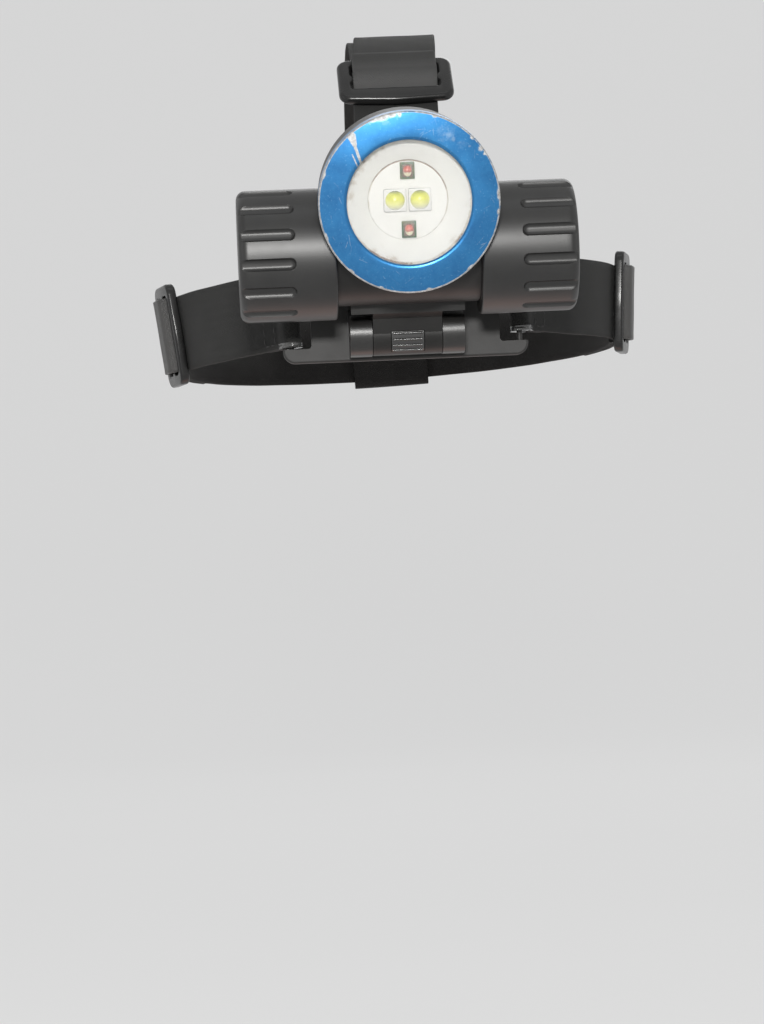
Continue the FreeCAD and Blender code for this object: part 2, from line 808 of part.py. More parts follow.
def arm_screws():
    """Two cheese-head screws that hold the saddle to the lamp housing."""
    screws = []
    slot_half = arm_screw_slot_width / 2
    slot_reach = arm_screw_head_radius + 1
    for side in (-1, 1):
        foot = screw_axis(side) + to_tube * saddle_bottom
        head = Part.makeCylinder(arm_screw_head_radius, arm_screw_head_height, foot, to_tube)
        length = saddle_thickness + arm_screw_reach
        shank = Part.makeCylinder(arm_screw_radius, length, foot, to_tube)
        slot = block((-slot_half, -slot_reach, 0), (slot_half, slot_reach, arm_screw_slot_depth))
        slot = placed(slot, foot, V(1, 0, 0), across_arm * -1, to_tube)
        screws.append(head.fuse(shank).cut(slot).removeSplitter())
    return group(screws)


def latch_tab():
    """Thumb tab with cross ridges that follows the round of the middle knuckle."""
    inner = knuckle_radius - latch_depth
    tab = latch_block(latch_width / 2, latch_height / 2, inner, knuckle_radius * 2)
    tab = tab.common(rod_x(knuckle_radius, -latch_width, latch_width))
    middle = (latch_ridge_count - 1) / 2
    for index in range(latch_ridge_count):
        angle = latch_angle + math.radians((index - middle) * latch_ridge_pitch_deg)
        centre = V(0, -math.cos(angle), -math.sin(angle)) * knuckle_radius
        half = latch_width / 2 - latch_ridge_inset
        tab = tab.fuse(rod_x(latch_ridge_radius, -half, half, centre.y, centre.z))
    return tab.removeSplitter()


def latch_leaf():
    """Steel leaf on the floor of the latch's pocket."""
    return latch_block(latch_width / 2 - latch_leaf_inset, latch_height / 2 - latch_leaf_inset,
                       latch_floor, latch_floor + latch_leaf_thickness)


def lamp_housing():
    """One-piece moulding: lamp barrel, battery tube, necks and the driver chamber."""
    shoulder = -barrel_rear - barrel_shoulder
    barrel = turned_y([
        (0, neck_front, 0), (front_neck_radius, neck_front, 0),
        (front_neck_radius, housing_front, 0), (barrel_radius, housing_front, edge_rounding),
        (barrel_radius, shoulder, barrel_shoulder_rounding),
        (barrel_rear_radius, -barrel_rear, barrel_rear_rounding),
        (0, -barrel_rear, 0)], barrel_rise)
    for side in (-1, 1):
        start = side * (cap_inner_x - thread_play)
        end = side * cap_outer_x
        barrel = barrel.cut(rod_x(cap_radius + cap_play, min(start, end), max(start, end),
                                  -tube_forward, tube_rise))
    tube = turned_x([
        (-neck_end_x, 0, 0), (-neck_end_x, neck_radius, 0),
        (-cap_inner_x, neck_radius, 0), (-cap_inner_x, tube_radius, 0),
        (cap_inner_x, tube_radius, 0), (cap_inner_x, neck_radius, 0),
        (neck_end_x, neck_radius, 0), (neck_end_x, 0, 0)])
    body = barrel.fuse(tube)
    for side in (-1, 1):
        start = side * centre_wall_half
        end = side * (neck_end_x + 1)
        body = body.cut(rod_x(cell_bore_radius, min(start, end), max(start, end),
                              -tube_forward, tube_rise))
        body = body.cut(cap_ring(side, ring_play))
    body = body.cut(rod_y(front_bore_radius, neck_front - 1, spreader_back, barrel_rise))
    body = body.cut(ring_y(seal_groove_radius + seal_half_width + seal_play,
                           seal_groove_radius - seal_half_width - seal_play,
                           neck_front - 1, lens_back + seal_height + seal_play, barrel_rise))
    body = body.cut(rod_y(chamber_radius, spreader_back - 1, chamber_back, chamber_z))
    body = body.cut(rod_y(retainer_outer, retainer_front, 1, chamber_z))
    body = body.cut(rod_y(switch_spring_radius + switch_spring_wire + slide_clearance,
                          spring_ledge, retainer_front + 1, chamber_z))
    body = body.cut(rod_y(button_stem_radius + button_play, chamber_back - 1,
                          spring_ledge + 1, chamber_z))
    for side in (-1, 1):
        foot = screw_axis(side) + to_tube * (tube_distance - tube_radius - 1)
        depth = 1 + arm_screw_reach + arm_screw_tip_gap
        body = body.cut(Part.makeCylinder(arm_screw_radius + arm_screw_play, depth,
                                          foot, to_tube))
    return body.removeSplitter()


def bezel_ring():
    """Ring with a flat face and a bevelled rim, screwed over the neck of the barrel."""
    front = bezel_front
    bore = front_neck_radius + thread_play
    return turned_y([
        (bezel_opening_radius, front, bezel_inner_bevel),
        (bezel_radius - bezel_bevel, front, 0), (bezel_radius, front + bezel_bevel, 0),
        (bezel_radius, rim_back, 0), (bore, rim_back, 0),
        (bore, lens_front, 0), (bezel_opening_radius, lens_front, 0)], barrel_rise)


def front_lens():
    return rod_y(front_neck_radius - lens_play, lens_front, lens_back, barrel_rise)


def lens_seal():
    """Flat rubber ring in the groove of the barrel's neck, behind the window."""
    return ring_y(seal_groove_radius + seal_half_width, seal_groove_radius - seal_half_width,
                  lens_back, lens_back + seal_height, barrel_rise)


def reflector_dish():
    """Shallow white dish with a hole for the disc that carries the light emitters."""
    hole = led_disc_radius + led_disc_play
    return turned_y([
        (hole, disc_front, 0), (dish_flat_radius, dish_front, 0),
        (dish_radius, dish_front, 0),
        (dish_radius, dish_front + dish_wall, 0), (dish_flat_radius, dish_front + dish_wall, 0),
        (hole + dish_wall, disc_back, 0), (hole, disc_back, 0)], barrel_rise)


def led_disc():
    return rod_y(led_disc_radius, disc_front, disc_back, barrel_rise)


def heat_spreader():
    radius = front_bore_radius - thread_play
    return rod_y(radius, disc_back, spreader_back, barrel_rise)


def white_led_centres():
    return [white_led_shift + side * white_led_spacing / 2 for side in (-1, 1)]


def white_led_bases():
    half = white_led_size / 2
    bases = []
    for x in white_led_centres():
        low = barrel_rise - half
        high = barrel_rise + half
        corner = white_led_corner
        corners = [(x - half, low, corner), (x + half, low, corner),
                   (x + half, high, corner), (x - half, high, corner)]
        front = disc_front - white_led_thickness
        bases.append(slab(corners, lambda a, b: V(a, front, b), V(0, white_led_thickness, 0)))
    return group(bases)


def dome(x, z, base, radius, height):
    """Round cap of a sphere standing forward of its base."""
    ball = (radius * radius + height * height) / (2 * height)
    sphere = Part.makeSphere(ball, V(x, base - height + ball, z))
    return sphere.common(rod_y(radius * 1.5, base - height - 1, base, z, x))


def white_led_domes():
    base = disc_front - white_led_thickness
    return group([dome(x, barrel_rise, base, white_dome_radius, white_dome_height)
                  for x in white_led_centres()])


def red_led_boards():
    boards = []
    for side in (-1, 1):
        z = barrel_rise + side * red_led_rise
        half_x = red_board_width / 2
        half_z = red_board_height / 2
        front = disc_front - red_board_thickness
        boards.append(block((-half_x, front, z - half_z), (half_x, disc_front, z + half_z)))
    return group(boards)


def red_leds():
    """Small red emitters, each a square base with a domed window."""
    leds = []
    base = disc_front - red_board_thickness
    front = base - red_base_thickness
    half = red_base_size / 2
    for side in (-1, 1):
        z = barrel_rise + side * red_led_rise
        square = block((-half, front, z - half), (half, base, z + half))
        bulb = dome(0, z, front, red_dome_radius, red_dome_radius)
        leds.append(square.fuse(bulb).removeSplitter())
    return group(leds)


# Driver, switch and button

def driver_board():
    """Round circuit board with its coil and two chips."""
    radius = chamber_radius - board_play
    board = rod_y(radius, board_front, board_front + board_thickness, chamber_z)
    board = board.fuse(ring_y(board_coil_radius, board_coil_bore, board_front - board_coil_height,
                              board_front, chamber_z + board_coil_rise))
    low = chamber_z - board_chip_drop - board_chip_length / 2
    for side in (-1, 1):
        start = side * board_chip_spacing / 2 - board_chip_width / 2
        board = board.fuse(block((start, board_front - board_chip_height, low),
                                 (start + board_chip_width, board_front, low + board_chip_length)))
    return board.removeSplitter()


def switch_body():
    """Push switch that stands on the back of the driver board."""
    start = board_front + board_thickness
    body = rod_y(switch_body_radius, start, start + switch_body_length, chamber_z)
    plunger_end = button_end - button_travel - switch_plunger_gap
    plunger = rod_y(switch_plunger_radius, start, plunger_end, chamber_z)
    return body.fuse(plunger).removeSplitter()


def switch_button():
    """Domed push button whose stem reaches through the wall to the switch."""
    top = button_seat + button_height
    return turned_y([
        (0, button_end, 0), (button_stem_radius, button_end, edge_rounding),
        (button_stem_radius, button_seat, 0), (button_radius, button_seat, edge_rounding),
        (button_radius, top - button_shoulder, 2 * button_shoulder),
        (button_radius - button_crown_width, top, 0),
        (0, top + button_crown, 0)], chamber_z)


def switch_retainer():
    """Ring that holds the button in the back of the barrel."""
    inner = button_radius + button_play
    outer = retainer_outer - retainer_play
    back = retainer_stand - barrel_rear
    return turned_y([
        (inner, retainer_front, 0), (outer, retainer_front, 0), (outer, back, edge_rounding),
        (inner, back, edge_rounding)], chamber_z)


def helix_points(radius, turns, length, per_turn):
    """Points on a helix about the third axis, with the direction of travel at each."""
    points = []
    count = turns * per_turn
    for index in range(count + 1):
        angle = 2 * math.pi * index / per_turn
        point = V(radius * math.cos(angle), radius * math.sin(angle), length * index / count)
        rise = length / (2 * math.pi * turns)
        along = V(-radius * math.sin(angle), radius * math.cos(angle), rise).normalize()
        points.append((point, along))
    return points


def tangent_arc(start, corner, end):
    """Arc from start to end that touches both legs to the corner between them."""
    centre = (start + end) / 2
    half = start.distanceToPoint(centre)
    height = corner.distanceToPoint(centre)
    lean = math.atan2(height, half)
    middle = centre + (corner - centre).normalize() * (half * math.tan(lean / 2))
    return Part.Arc(start, middle, end).toShape()


def wire_bend(arc, wire):
    """Round wire bent along an arc."""
    first = arc.FirstParameter
    section = Part.Circle(arc.valueAt(first), arc.tangentAt(first), wire / 2).toShape()
    angle = math.degrees(arc.LastParameter - first)
    return Part.Face(Part.Wire(section)).revolve(arc.Curve.Center, arc.Curve.Axis, angle)


def coil(radius, wire, turns, length, start, direction, side):
    """Round-wire coil wound on pairs of arcs, a quarter turn each; prints its least gap."""
    points = helix_points(radius, turns, length, 4)
    edges = []
    for (first, leaving), (last, arriving) in zip(points, points[1:]):
        chord = last - first
        square = 2 * (1 - leaving.dot(arriving))
        slope = 2 * chord.dot(leaving + arriving)
        leg = (math.sqrt(slope * slope + 4 * square * chord.dot(chord)) - slope) / (2 * square)
        near = first + leaving * leg
        far = last - arriving * leg
        joint = (near + far) / 2
        edges += [tangent_arc(first, near, joint), tangent_arc(joint, far, last)]
    bends = [wire_bend(edge, wire) for edge in edges]
    body = bends[0].multiFuse(bends[1:])
    samples = [edge.valueAt(edge.FirstParameter) for edge in edges]
    half_turn = len(samples) // (2 * turns)
    gap = min(a.distanceToPoint(b) for index, a in enumerate(samples)
              for b in samples[index + half_turn:]) - wire
    print("least gap between coil turns", round(gap, 2), "mm")
    return placed(body, start, side, direction.cross(side), direction)


def switch_spring():
    room = button_seat - button_travel - spring_ledge
    length = room - switch_spring_wire - contact_gap
    start = V(0, spring_ledge + switch_spring_wire / 2, chamber_z)
    return coil(switch_spring_radius, switch_spring_wire, switch_spring_turns, length,
                start, V(0, 1, 0), V(1, 0, 0))


# Battery side of the lamp

def cell(side):
    """Round cell lying in the tube with its raised contact inward."""
    start = cell_start_x
    body = rod_x(cell_radius, start, cell_end_x, -tube_forward, tube_rise)
    button = rod_x(cell_button_radius, start - cell_button_height, start,
                   -tube_forward, tube_rise)
    whole = body.fuse(button).removeSplitter()
    return whole if side > 0 else mirrored(whole)


def centre_contacts():
    """Brass discs on both faces of the wall between the cells."""
    discs = []
    for side in (-1, 1):
        start = side * centre_wall_half
        end = side * (centre_wall_half + contact_thickness)
        discs.append(rod_x(contact_radius, min(start, end), max(start, end),
                           -tube_forward, tube_rise))
    return group(discs)


def cap_ring(side, play=0.0):
    """Square rubber ring sunk in the neck of the tube; with a play it is its groove."""
    centre = side * (cap_inner_x + ring_offset)
    half = ring_width / 2 + play
    outer = neck_radius + ring_stand + play
    floor = neck_radius - ring_depth - play
    ring = rod_x(outer, centre - half, centre + half, -tube_forward, tube_rise)
    return ring.cut(rod_x(floor, centre - half - 1, centre + half + 1, -tube_forward, tube_rise))


def groove_cutter(angle_deg):
    """Round-bottomed groove with a ball end, open at the cap's outer end; angle 0 is forward."""
    angle = math.radians(angle_deg)
    out = V(0, -math.cos(angle), -math.sin(angle))
    half_width = math.sqrt(groove_radius ** 2 - groove_rise ** 2)
    tip = cap_outer_x - groove_length + half_width - groove_radius
    bend = V(tip + groove_radius, groove_radius, 0)
    turn = groove_radius * math.sqrt(0.5)
    far = cap_outer_x + 1
    edges = [
        Part.Arc(V(tip, 0, 0), V(tip + groove_radius - turn, turn, 0), bend).toShape(),
        Part.makeLine(bend, V(far, groove_radius, 0)),
        Part.makeLine(V(far, groove_radius, 0), V(far, 0, 0)),
        Part.makeLine(V(far, 0, 0), V(tip, 0, 0))]
    cutter = Part.Face(Part.Wire(edges)).revolve(V(0, 0, 0), V(1, 0, 0), 360)
    cutter.translate(V(0, -tube_forward, tube_rise) + out * (cap_radius + groove_rise))
    return cutter


def battery_cap(first_groove_deg):
    """Moulded screw cap with its ring of thumb grooves, drawn for the wearer's left side."""
    rim_x = cap_inner_x + cap_face_gap
    step_x = neck_end_x + cap_neck_gap
    room = cell_radius + cap_cell_play
    shell = turned_x([
        (rim_x, cap_bore_radius, 0), (rim_x, cap_radius, cap_rim_rounding),
        (cap_outer_x, cap_radius, cap_edge_radius), (cap_outer_x, 0, 0), (cap_inside_x, 0, 0),
        (cap_inside_x, room, 0), (step_x, room, 0), (step_x, cap_bore_radius, 0)])
    for index in range(groove_count):
        shell = shell.cut(groove_cutter(first_groove_deg + index * 360 / groove_count))
    return shell


def cap_contact():
    """Round contact plate just inside the end wall of a cap."""
    end = cap_inside_x - contact_gap
    return rod_x(cap_contact_radius, end - contact_thickness, end, -tube_forward, tube_rise)


def cap_spring(side):
    """Coil that presses the cell inward from the cap's contact plate."""
    outer = cap_inside_x - contact_gap - contact_thickness
    length = outer - cell_end_x - spring_wire - contact_gap
    start = V(side * (cell_end_x + contact_gap + spring_wire / 2), -tube_forward, tube_rise)
    return coil(spring_radius, spring_wire, spring_turns, length, start,
                V(side, 0, 0), V(0, side, 0))


# Write every piece

save("front_plate", front_plate())
save("hinge_pin", hinge_pin())

save("band_front_right", slanted(front_band(1)))
save("band_front_left", slanted(mirrored(front_band(-1))))
save("band_rear", slanted(rear_band()))
save("top_strap_front", front_top_strap())
save("top_strap_rear", rear_top_strap())
save("rear_strap_loop", slanted(rear_strap_loop()))

save("buckle_right", slanted(at_side(buckle(), 1)))
save("buckle_left", slanted(mirrored(at_side(buckle(), -1))))
save("buckle_top", at_top(buckle(top_spread)))
save("strap_hump_right", slanted(at_side(buckle_hump(), 1)))
save("strap_hump_left", slanted(mirrored(at_side(buckle_hump(), -1))))
save("strap_hump_top", at_top(buckle_hump(top_spread)))

save("lamp_housing", on_lamp(lamp_housing()))
save("hinge_arm", on_lamp(hinge_arm()))
save("arm_screws", on_lamp(arm_screws()))
save("latch_tab", on_lamp(latch_tab()))
save("latch_leaf", on_lamp(latch_leaf()))
save("bezel_ring", on_lamp(bezel_ring()))
save("front_lens", on_lamp(front_lens()))
save("lens_seal", on_lamp(lens_seal()))
save("reflector_dish", on_lamp(reflector_dish()))
save("led_disc", on_lamp(led_disc()))
save("heat_spreader", on_lamp(heat_spreader()))
save("white_led_bases", on_lamp(white_led_bases()))
save("white_led_domes", on_lamp(white_led_domes()))
save("red_led_boards", on_lamp(red_led_boards()))
save("red_leds", on_lamp(red_leds()))
save("driver_board", on_lamp(driver_board()))
save("switch_body", on_lamp(switch_body()))
save("switch_button", on_lamp(switch_button()))
save("switch_retainer", on_lamp(switch_retainer()))
save("switch_spring", on_lamp(switch_spring()))
save("centre_contacts", on_lamp(centre_contacts()))

save("cell_right", on_lamp(cell(1)))
save("cell_left", on_lamp(cell(-1)))
save("cap_oring_right", on_lamp(cap_ring(1)))
save("cap_oring_left", on_lamp(cap_ring(-1)))
save("battery_cap_right", on_lamp(battery_cap(right_groove_angle_deg)))
save("battery_cap_left", on_lamp(mirrored(battery_cap(left_groove_angle_deg))))
save("cap_contact_right", on_lamp(cap_contact()))
save("cap_contact_left", on_lamp(mirrored(cap_contact())))
save("cap_spring_right", on_lamp(cap_spring(1)))
save("cap_spring_left", on_lamp(cap_spring(-1)))
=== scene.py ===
import json
import random
from math import acos, asin, atan2, cos, degrees, exp, hypot, pi, radians, sin, tan

import bmesh
import bpy
from mathutils import Matrix, Vector

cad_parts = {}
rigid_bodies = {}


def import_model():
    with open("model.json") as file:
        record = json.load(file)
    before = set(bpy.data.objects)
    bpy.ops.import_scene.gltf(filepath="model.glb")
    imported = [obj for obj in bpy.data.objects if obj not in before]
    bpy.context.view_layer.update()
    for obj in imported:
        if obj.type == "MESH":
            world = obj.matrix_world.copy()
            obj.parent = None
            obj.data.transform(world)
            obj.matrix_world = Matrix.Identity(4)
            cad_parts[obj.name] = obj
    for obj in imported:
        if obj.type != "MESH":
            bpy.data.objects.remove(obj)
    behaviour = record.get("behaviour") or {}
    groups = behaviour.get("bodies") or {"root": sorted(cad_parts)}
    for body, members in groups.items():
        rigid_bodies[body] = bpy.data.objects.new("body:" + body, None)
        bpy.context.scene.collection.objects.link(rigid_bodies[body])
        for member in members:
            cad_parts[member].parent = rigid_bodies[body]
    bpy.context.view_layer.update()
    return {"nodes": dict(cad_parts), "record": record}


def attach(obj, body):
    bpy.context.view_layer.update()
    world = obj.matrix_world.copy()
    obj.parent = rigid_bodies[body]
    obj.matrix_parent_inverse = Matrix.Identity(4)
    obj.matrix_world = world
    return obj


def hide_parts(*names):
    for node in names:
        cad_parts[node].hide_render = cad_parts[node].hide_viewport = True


for old in list(bpy.data.objects):
    bpy.data.objects.remove(old)

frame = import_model()
random.seed(11)

# Sizes in millimetres, as in the solids. The straps follow ovals round the middle of the head,
# with half axes p, sideways or up, and HEAD_Q, to the front and back.
MM = 0.001  # a millimetre in metres, and the other way round
METRE = 1000
HEAD_P = 76.7
HEAD_Q = 96.7
CROWN_P = 97.2
LEAN_DEG = 5.5  # the band leans outwards with the head
SLANT_DEG = 1.85  # the band as worn: slanted, tipped, lowered and turned
TIP_DEG = 1.26
DROP = 1.6
TURN = 0.023
TOP_LEAN = 0.065
WEB_WIDTH = 25.0
TOP_WIDTH = 27.5
WEB_THICK = 1.6
HALF = WEB_WIDTH / 2
TOP_HALF = TOP_WIDTH / 2
LEAN = HALF * tan(radians(LEAN_DEG))
LEVEL = 0.9  # middle of a strap, over or under its oval
LOOP = 2.3  # the same round a bar
EASE = 7.0  # length over which a sewn end closes on its strap
SEWN = 16.0
SIDE_ANGLE = 16.0  # the adjusters' places on the ovals
TOP_ANGLE = 41.5
LAP_DEG = 6.0  # a rear strap starts this much ahead of its adjuster
SIDE_END = radians(-25.0)  # ends of the front straps
TOP_END = radians(-22.0)
HINGE_Y = -107.0
HINGE_Z = -10.4
TILT_DEG = 12.7
TUBE_Y = -12.2  # tube and barrel of the level lamp, from the hinge
TUBE_Z = 28.0
BARREL_Z = 46.5
CAP_RADIUS = 20.75
BAR_X = 36.8  # the plate's bars
BAR_Y = -98.75
TOP_BAR_Z = 22.3


# Shader helpers

def shade(colour, factor, lift=0.0):
    return tuple(c * factor + lift for c in colour)


class Nodes:
    """Short ways to make and link the nodes of a tree."""

    def __init__(self, tree):
        self.tree = tree

    def feed(self, socket, item):
        """Give a socket a number, a vector, a colour or another node's output."""
        if isinstance(item, (int, float)):
            socket.default_value = item
        elif isinstance(item, tuple):
            socket.default_value = item if socket.type == "VECTOR" else (*item, 1.0)
        else:
            self.tree.links.new(item, socket)

    def node(self, kind, feeds=None, **settings):
        made = self.tree.nodes.new("ShaderNode" + kind)
        for key, value in settings.items():
            setattr(made, key, value)
        for key, item in (feeds or {}).items():
            self.feed(made.inputs[key], item)
        return made

    def math(self, operation, *items):
        return self.node("Math", dict(enumerate(items)), operation=operation).outputs[0]

    def seen(self):
        """1 for the camera's rays, also by way of gloss or glass, and 0 for others."""
        rays = self.node("LightPath").outputs
        direct = self.math("MAXIMUM", rays["Is Camera Ray"], rays["Is Glossy Ray"])
        return self.math("MAXIMUM", direct, rays["Is Transmission Ray"])


class Finish(Nodes):
    """A material with its shader and the nodes that feed it."""

    def __init__(self, name, values=None):
        self.mat = bpy.data.materials.new(name)
        self.mat.use_nodes = True
        super().__init__(self.mat.node_tree)
        self.shader = self.tree.nodes["Principled BSDF"]
        self.coord = self.node("TexCoord").outputs
        for socket, item in (values or {}).items():
            self.feed(self.shader.inputs[socket], item)

    def noise(self, scale, detail=3.0, rough=0.55, stretch=None):
        source = self.coord["Object"]
        if stretch:
            source = self.node("Mapping", {"Scale": stretch, "Vector": source}).outputs[0]
        feeds = {"Scale": scale, "Detail": detail, "Roughness": rough, "Vector": source}
        return self.node("TexNoise", feeds).outputs["Fac"]

    def parts(self, output):
        """The three numbers of a texture coordinate."""
        return self.node("SeparateXYZ", {0: self.coord[output]}).outputs

    def attribute(self, name):
        return self.node("Attribute", attribute_name=name).outputs["Fac"]

    def wave(self, source, length):
        return self.math("SINE", self.math("MULTIPLY", source, 2 * pi / length))

    def vary(self, level, noise, amount):
        """Level with a noise added, which is centred on 0 first."""
        centred = self.math("SUBTRACT", noise, 0.5)
        return self.math("ADD", level, self.math("MULTIPLY", centred, amount))

    def share(self, source, start, end):
        """How far a number has come from start to end."""
        return self.math("DIVIDE", self.math("SUBTRACT", source, start), end - start)

    def ramp(self, source, *stops):
        """Colours or grey levels between stops of (place, colour)."""
        made = self.node("ValToRGB", {"Fac": source})
        ramp = made.color_ramp
        while len(ramp.elements) < len(stops):
            ramp.elements.new(0.5)
        for element, (place, colour) in zip(ramp.elements, stops):
            element.position = place
            if isinstance(colour, (int, float)):
                colour = (colour,) * 3
            element.color = (*colour, 1.0)
        return made.outputs["Color"]

    def clouded(self, noise, low, high):
        """Ramp over the middle of a noise."""
        return self.ramp(noise, (0.3, low), (0.7, high))

    def mix(self, amount, first, second):
        feeds = {0: amount, 6: first, 7: second}
        return self.node("Mix", feeds, data_type="RGBA").outputs[2]

    def bump(self, height, distance, strength, under=None):
        feeds = {"Distance": distance, "Strength": strength, "Height": height}
        if under is not None:
            feeds["Normal"] = under
        return self.node("Bump", feeds).outputs["Normal"]

    def finish(self, colour, rough, normal):
        """Feed the shader's main sockets, which ends the material."""
        for socket, item in (("Base Color", colour), ("Roughness", rough), ("Normal", normal)):
            self.feed(self.shader.inputs[socket], item)
        return self.mat


def plastic(name, colour, rough, grain=2200.0, depth=0.00003, dust=0.5, gloss=0.5,
            rubbing=0.5, polish=None, ringed=0.0):
    """Moulded plastic: fine grain, faint flow marks, rubbed patches, scratches, a little dust.

    polish is (start, end, roughness) along y, and ringed the strength of rings about x.
    """
    f = Finish(name, {"Specular IOR Level": gloss})
    base = f.ramp(f.noise(55.0, 4.0), (0.35, shade(colour, 0.8)),
                  (0.65, shade(colour, 1.25, 0.004)))
    specks = f.ramp(f.noise(900.0, 3.0, 0.6), (0.62, 0.0), (0.78, dust))
    base = f.mix(specks, base, shade(colour, 1.6, 0.02))
    rough_map = f.ramp(f.noise(160.0, 5.0, 0.7), (0.3, rough - 0.07 * rubbing), (0.55, rough),
                       (0.75, rough + 0.12 * rubbing))
    if polish:
        start, end, smooth = polish
        reach = f.share(f.parts("Object")[1], start, end)
        rough_map = f.mix(f.ramp(reach, (0.0, 0.0), (1.0, 1.0)), rough_map, (smooth,) * 3)
    scratches = f.noise(420.0, 2.0, 0.5, stretch=(0.25, 1.0, 6.0))
    scratches = f.ramp(scratches, (0.46, 0.0), (0.5, 1.0), (0.54, 0.0))
    normal = f.bump(f.noise(grain, 2.0), depth, 0.5)
    normal = f.bump(scratches, 0.00001, 0.15, normal)
    if ringed:
        rings = f.noise(2600.0, 2.0, 0.6, stretch=(1.0, 0.012, 0.012))
        normal = f.bump(rings, 0.00002, ringed, normal)
    return f.finish(base, rough_map, normal)


def webbing(name, colour=(0.028, 0.028, 0.0275), rubbed=0.0, fold=None):
    """Woven strap: chevron twill in millimetres of the strap, faded patches, faint fuzz.

    fold is (start, end, colour) for a stretch along the strap painted pale, a painted highlight
    where it turns to face the light.
    """
    f = Finish(name, {"Sheen Weight": 0.07, "Sheen Roughness": 0.5,
                      "Specular IOR Level": 0.14 + 0.5 * rubbed})
    across, along, _ = f.parts("UV")
    zigzag = f.math("PINGPONG", across, 1.6)
    slope = f.math("ADD", f.math("MULTIPLY", zigzag, 0.9), along)
    twill = f.wave(slope, 0.82)
    cross = f.math("MULTIPLY", f.wave(across, 0.4), f.wave(along, 0.55))
    height = f.math("ADD", f.math("MULTIPLY", twill, 0.34), f.math("MULTIPLY", cross, 0.3))
    fuzz = f.noise(2600.0, 3.0, 0.7)
    height = f.math("ADD", height, f.math("MULTIPLY", fuzz, 0.8))
    level = f.math("ADD", f.math("MULTIPLY", height, 0.3), 0.5)
    base = f.ramp(level, (0.15, shade(colour, 0.55)), (0.5, colour), (0.9, shade(colour, 1.5)))
    faded = f.ramp(f.noise(38.0, 4.0, 0.6), (0.4, 0.0), (0.7, 0.35))
    base = f.mix(faded, base, shade(colour, 1.7, 0.01))
    lint = f.ramp(f.noise(1500.0, 2.0, 0.5, stretch=(1.0, 1.0, 0.3)), (0.7, 0.0), (0.8, 0.5))
    base = f.mix(lint, base, (0.10, 0.10, 0.097))
    # Painted highlight: from start to end the strap turns pale, as if lit.
    if fold:
        start, end, pale = fold
        reach = f.vary(f.share(along, start, end), fuzz, 0.5)
        base = f.mix(f.ramp(reach, (0.0, 0.0), (0.75, 0.6), (1.0, 1.0)), base, pale)
    rough = f.ramp(level, (0.0, 0.85 - 0.3 * rubbed), (1.0, 0.6 - 0.25 * rubbed))
    return f.finish(base, rough, f.bump(height, 0.00018, 0.8))


def anodised(name):
    """Blue anodised aluminium, turned, with bare metal where the mesh is marked as worn."""
    f = Finish(name, {"Coat Weight": 0.25, "Coat Roughness": 0.2})
    patchy = f.noise(900.0, 4.0, 0.65)
    cloud = f.noise(120.0)
    blue = f.clouded(cloud, (0.016, 0.132, 0.34), (0.022, 0.168, 0.39))
    mottle = f.ramp(f.noise(650.0, 5.0, 0.75), (0.35, 0.0), (0.75, 0.5))
    blue = f.mix(mottle, blue, (0.038, 0.22, 0.46))
    speck = f.ramp(f.noise(1800.0, 2.0, 0.5), (0.64, 0.0), (0.78, 0.4))
    blue = f.mix(speck, blue, (0.20, 0.42, 0.62))
    bare = f.clouded(patchy, (0.26, 0.25, 0.24), (0.60, 0.61, 0.62))
    ragged = f.vary(f.attribute("wear_and_shade"), patchy, 0.5)
    haze = f.ramp(ragged, (0.1, 0.0), (0.45, 0.5))
    blue = f.mix(haze, blue, (0.30, 0.40, 0.50))
    ragged = f.vary(ragged, f.noise(3400.0, 3.0, 0.6), 0.5)
    mask = f.ramp(ragged, (0.44, 0.0), (0.58, 1.0))
    normal = f.bump(f.wave(f.attribute("ring"), 0.22), 0.000006, 0.35)
    normal = f.bump(patchy, 0.00002, 0.25, normal)
    rough = f.mix(mask, f.clouded(cloud, 0.3, 0.4), (0.5, 0.5, 0.5))
    f.feed(f.shader.inputs["Metallic"], f.ramp(mask, (0.0, 0.74), (1.0, 0.35)))
    return f.finish(f.mix(mask, blue, bare), rough, normal)


def metal(name, colour, rough):
    """Bare metal with fine drawn lines and slight tarnish."""
    f = Finish(name, {"Metallic": 1.0})
    lines = f.noise(700.0, 3.0, 0.6, stretch=(1.0, 1.0, 12.0))
    base = f.clouded(f.noise(180.0), shade(colour, 0.8), colour)
    rough = f.clouded(lines, rough - 0.08, rough + 0.1)
    return f.finish(base, rough, f.bump(lines, 0.00001, 0.3))


def white_moulding(name, colour, rough):
    """White dish or disc, grey and brown where the mesh is marked with dirt and with painted
    shade.
    """
    f = Finish(name)
    cloud = f.noise(140.0, 4.0, 0.6)
    base = f.clouded(cloud, shade(colour, 0.96), colour)
    # Grey and brown for grime, and for painted shade in the seams of the dish and the disc.
    dirt_and_shade = f.vary(f.attribute("wear_and_shade"), f.noise(430.0, 5.0, 0.72), 1.7)
    base = f.mix(f.ramp(dirt_and_shade, (0.2, 0.0), (0.75, 0.75)), base, (0.56, 0.49, 0.40))
    base = f.mix(f.ramp(dirt_and_shade, (0.78, 0.0), (1.0, 0.75)), base, (0.20, 0.115, 0.085))
    rough = f.clouded(cloud, rough, rough + 0.1)
    return f.finish(base, rough, f.bump(f.noise(2400.0, 2.0), 0.00001, 0.25))


def package(name, pale=(0.80, 0.79, 0.77), side=(0.10, 0.095, 0.095)):
    """Emitter package with painted shade on its sides, which are marked on the mesh; side is the
    colour of that shade.
    """
    f = Finish(name)
    cloud = f.noise(900.0, 3.0, 0.6)
    # Painted shade: the marked sides turn to the side colour.
    base = f.mix(f.attribute("wear_and_shade"), f.clouded(cloud, shade(pale, 0.95), pale), side)
    return f.finish(base, f.clouded(cloud, 0.35, 0.5), f.bump(cloud, 0.000005, 0.3))


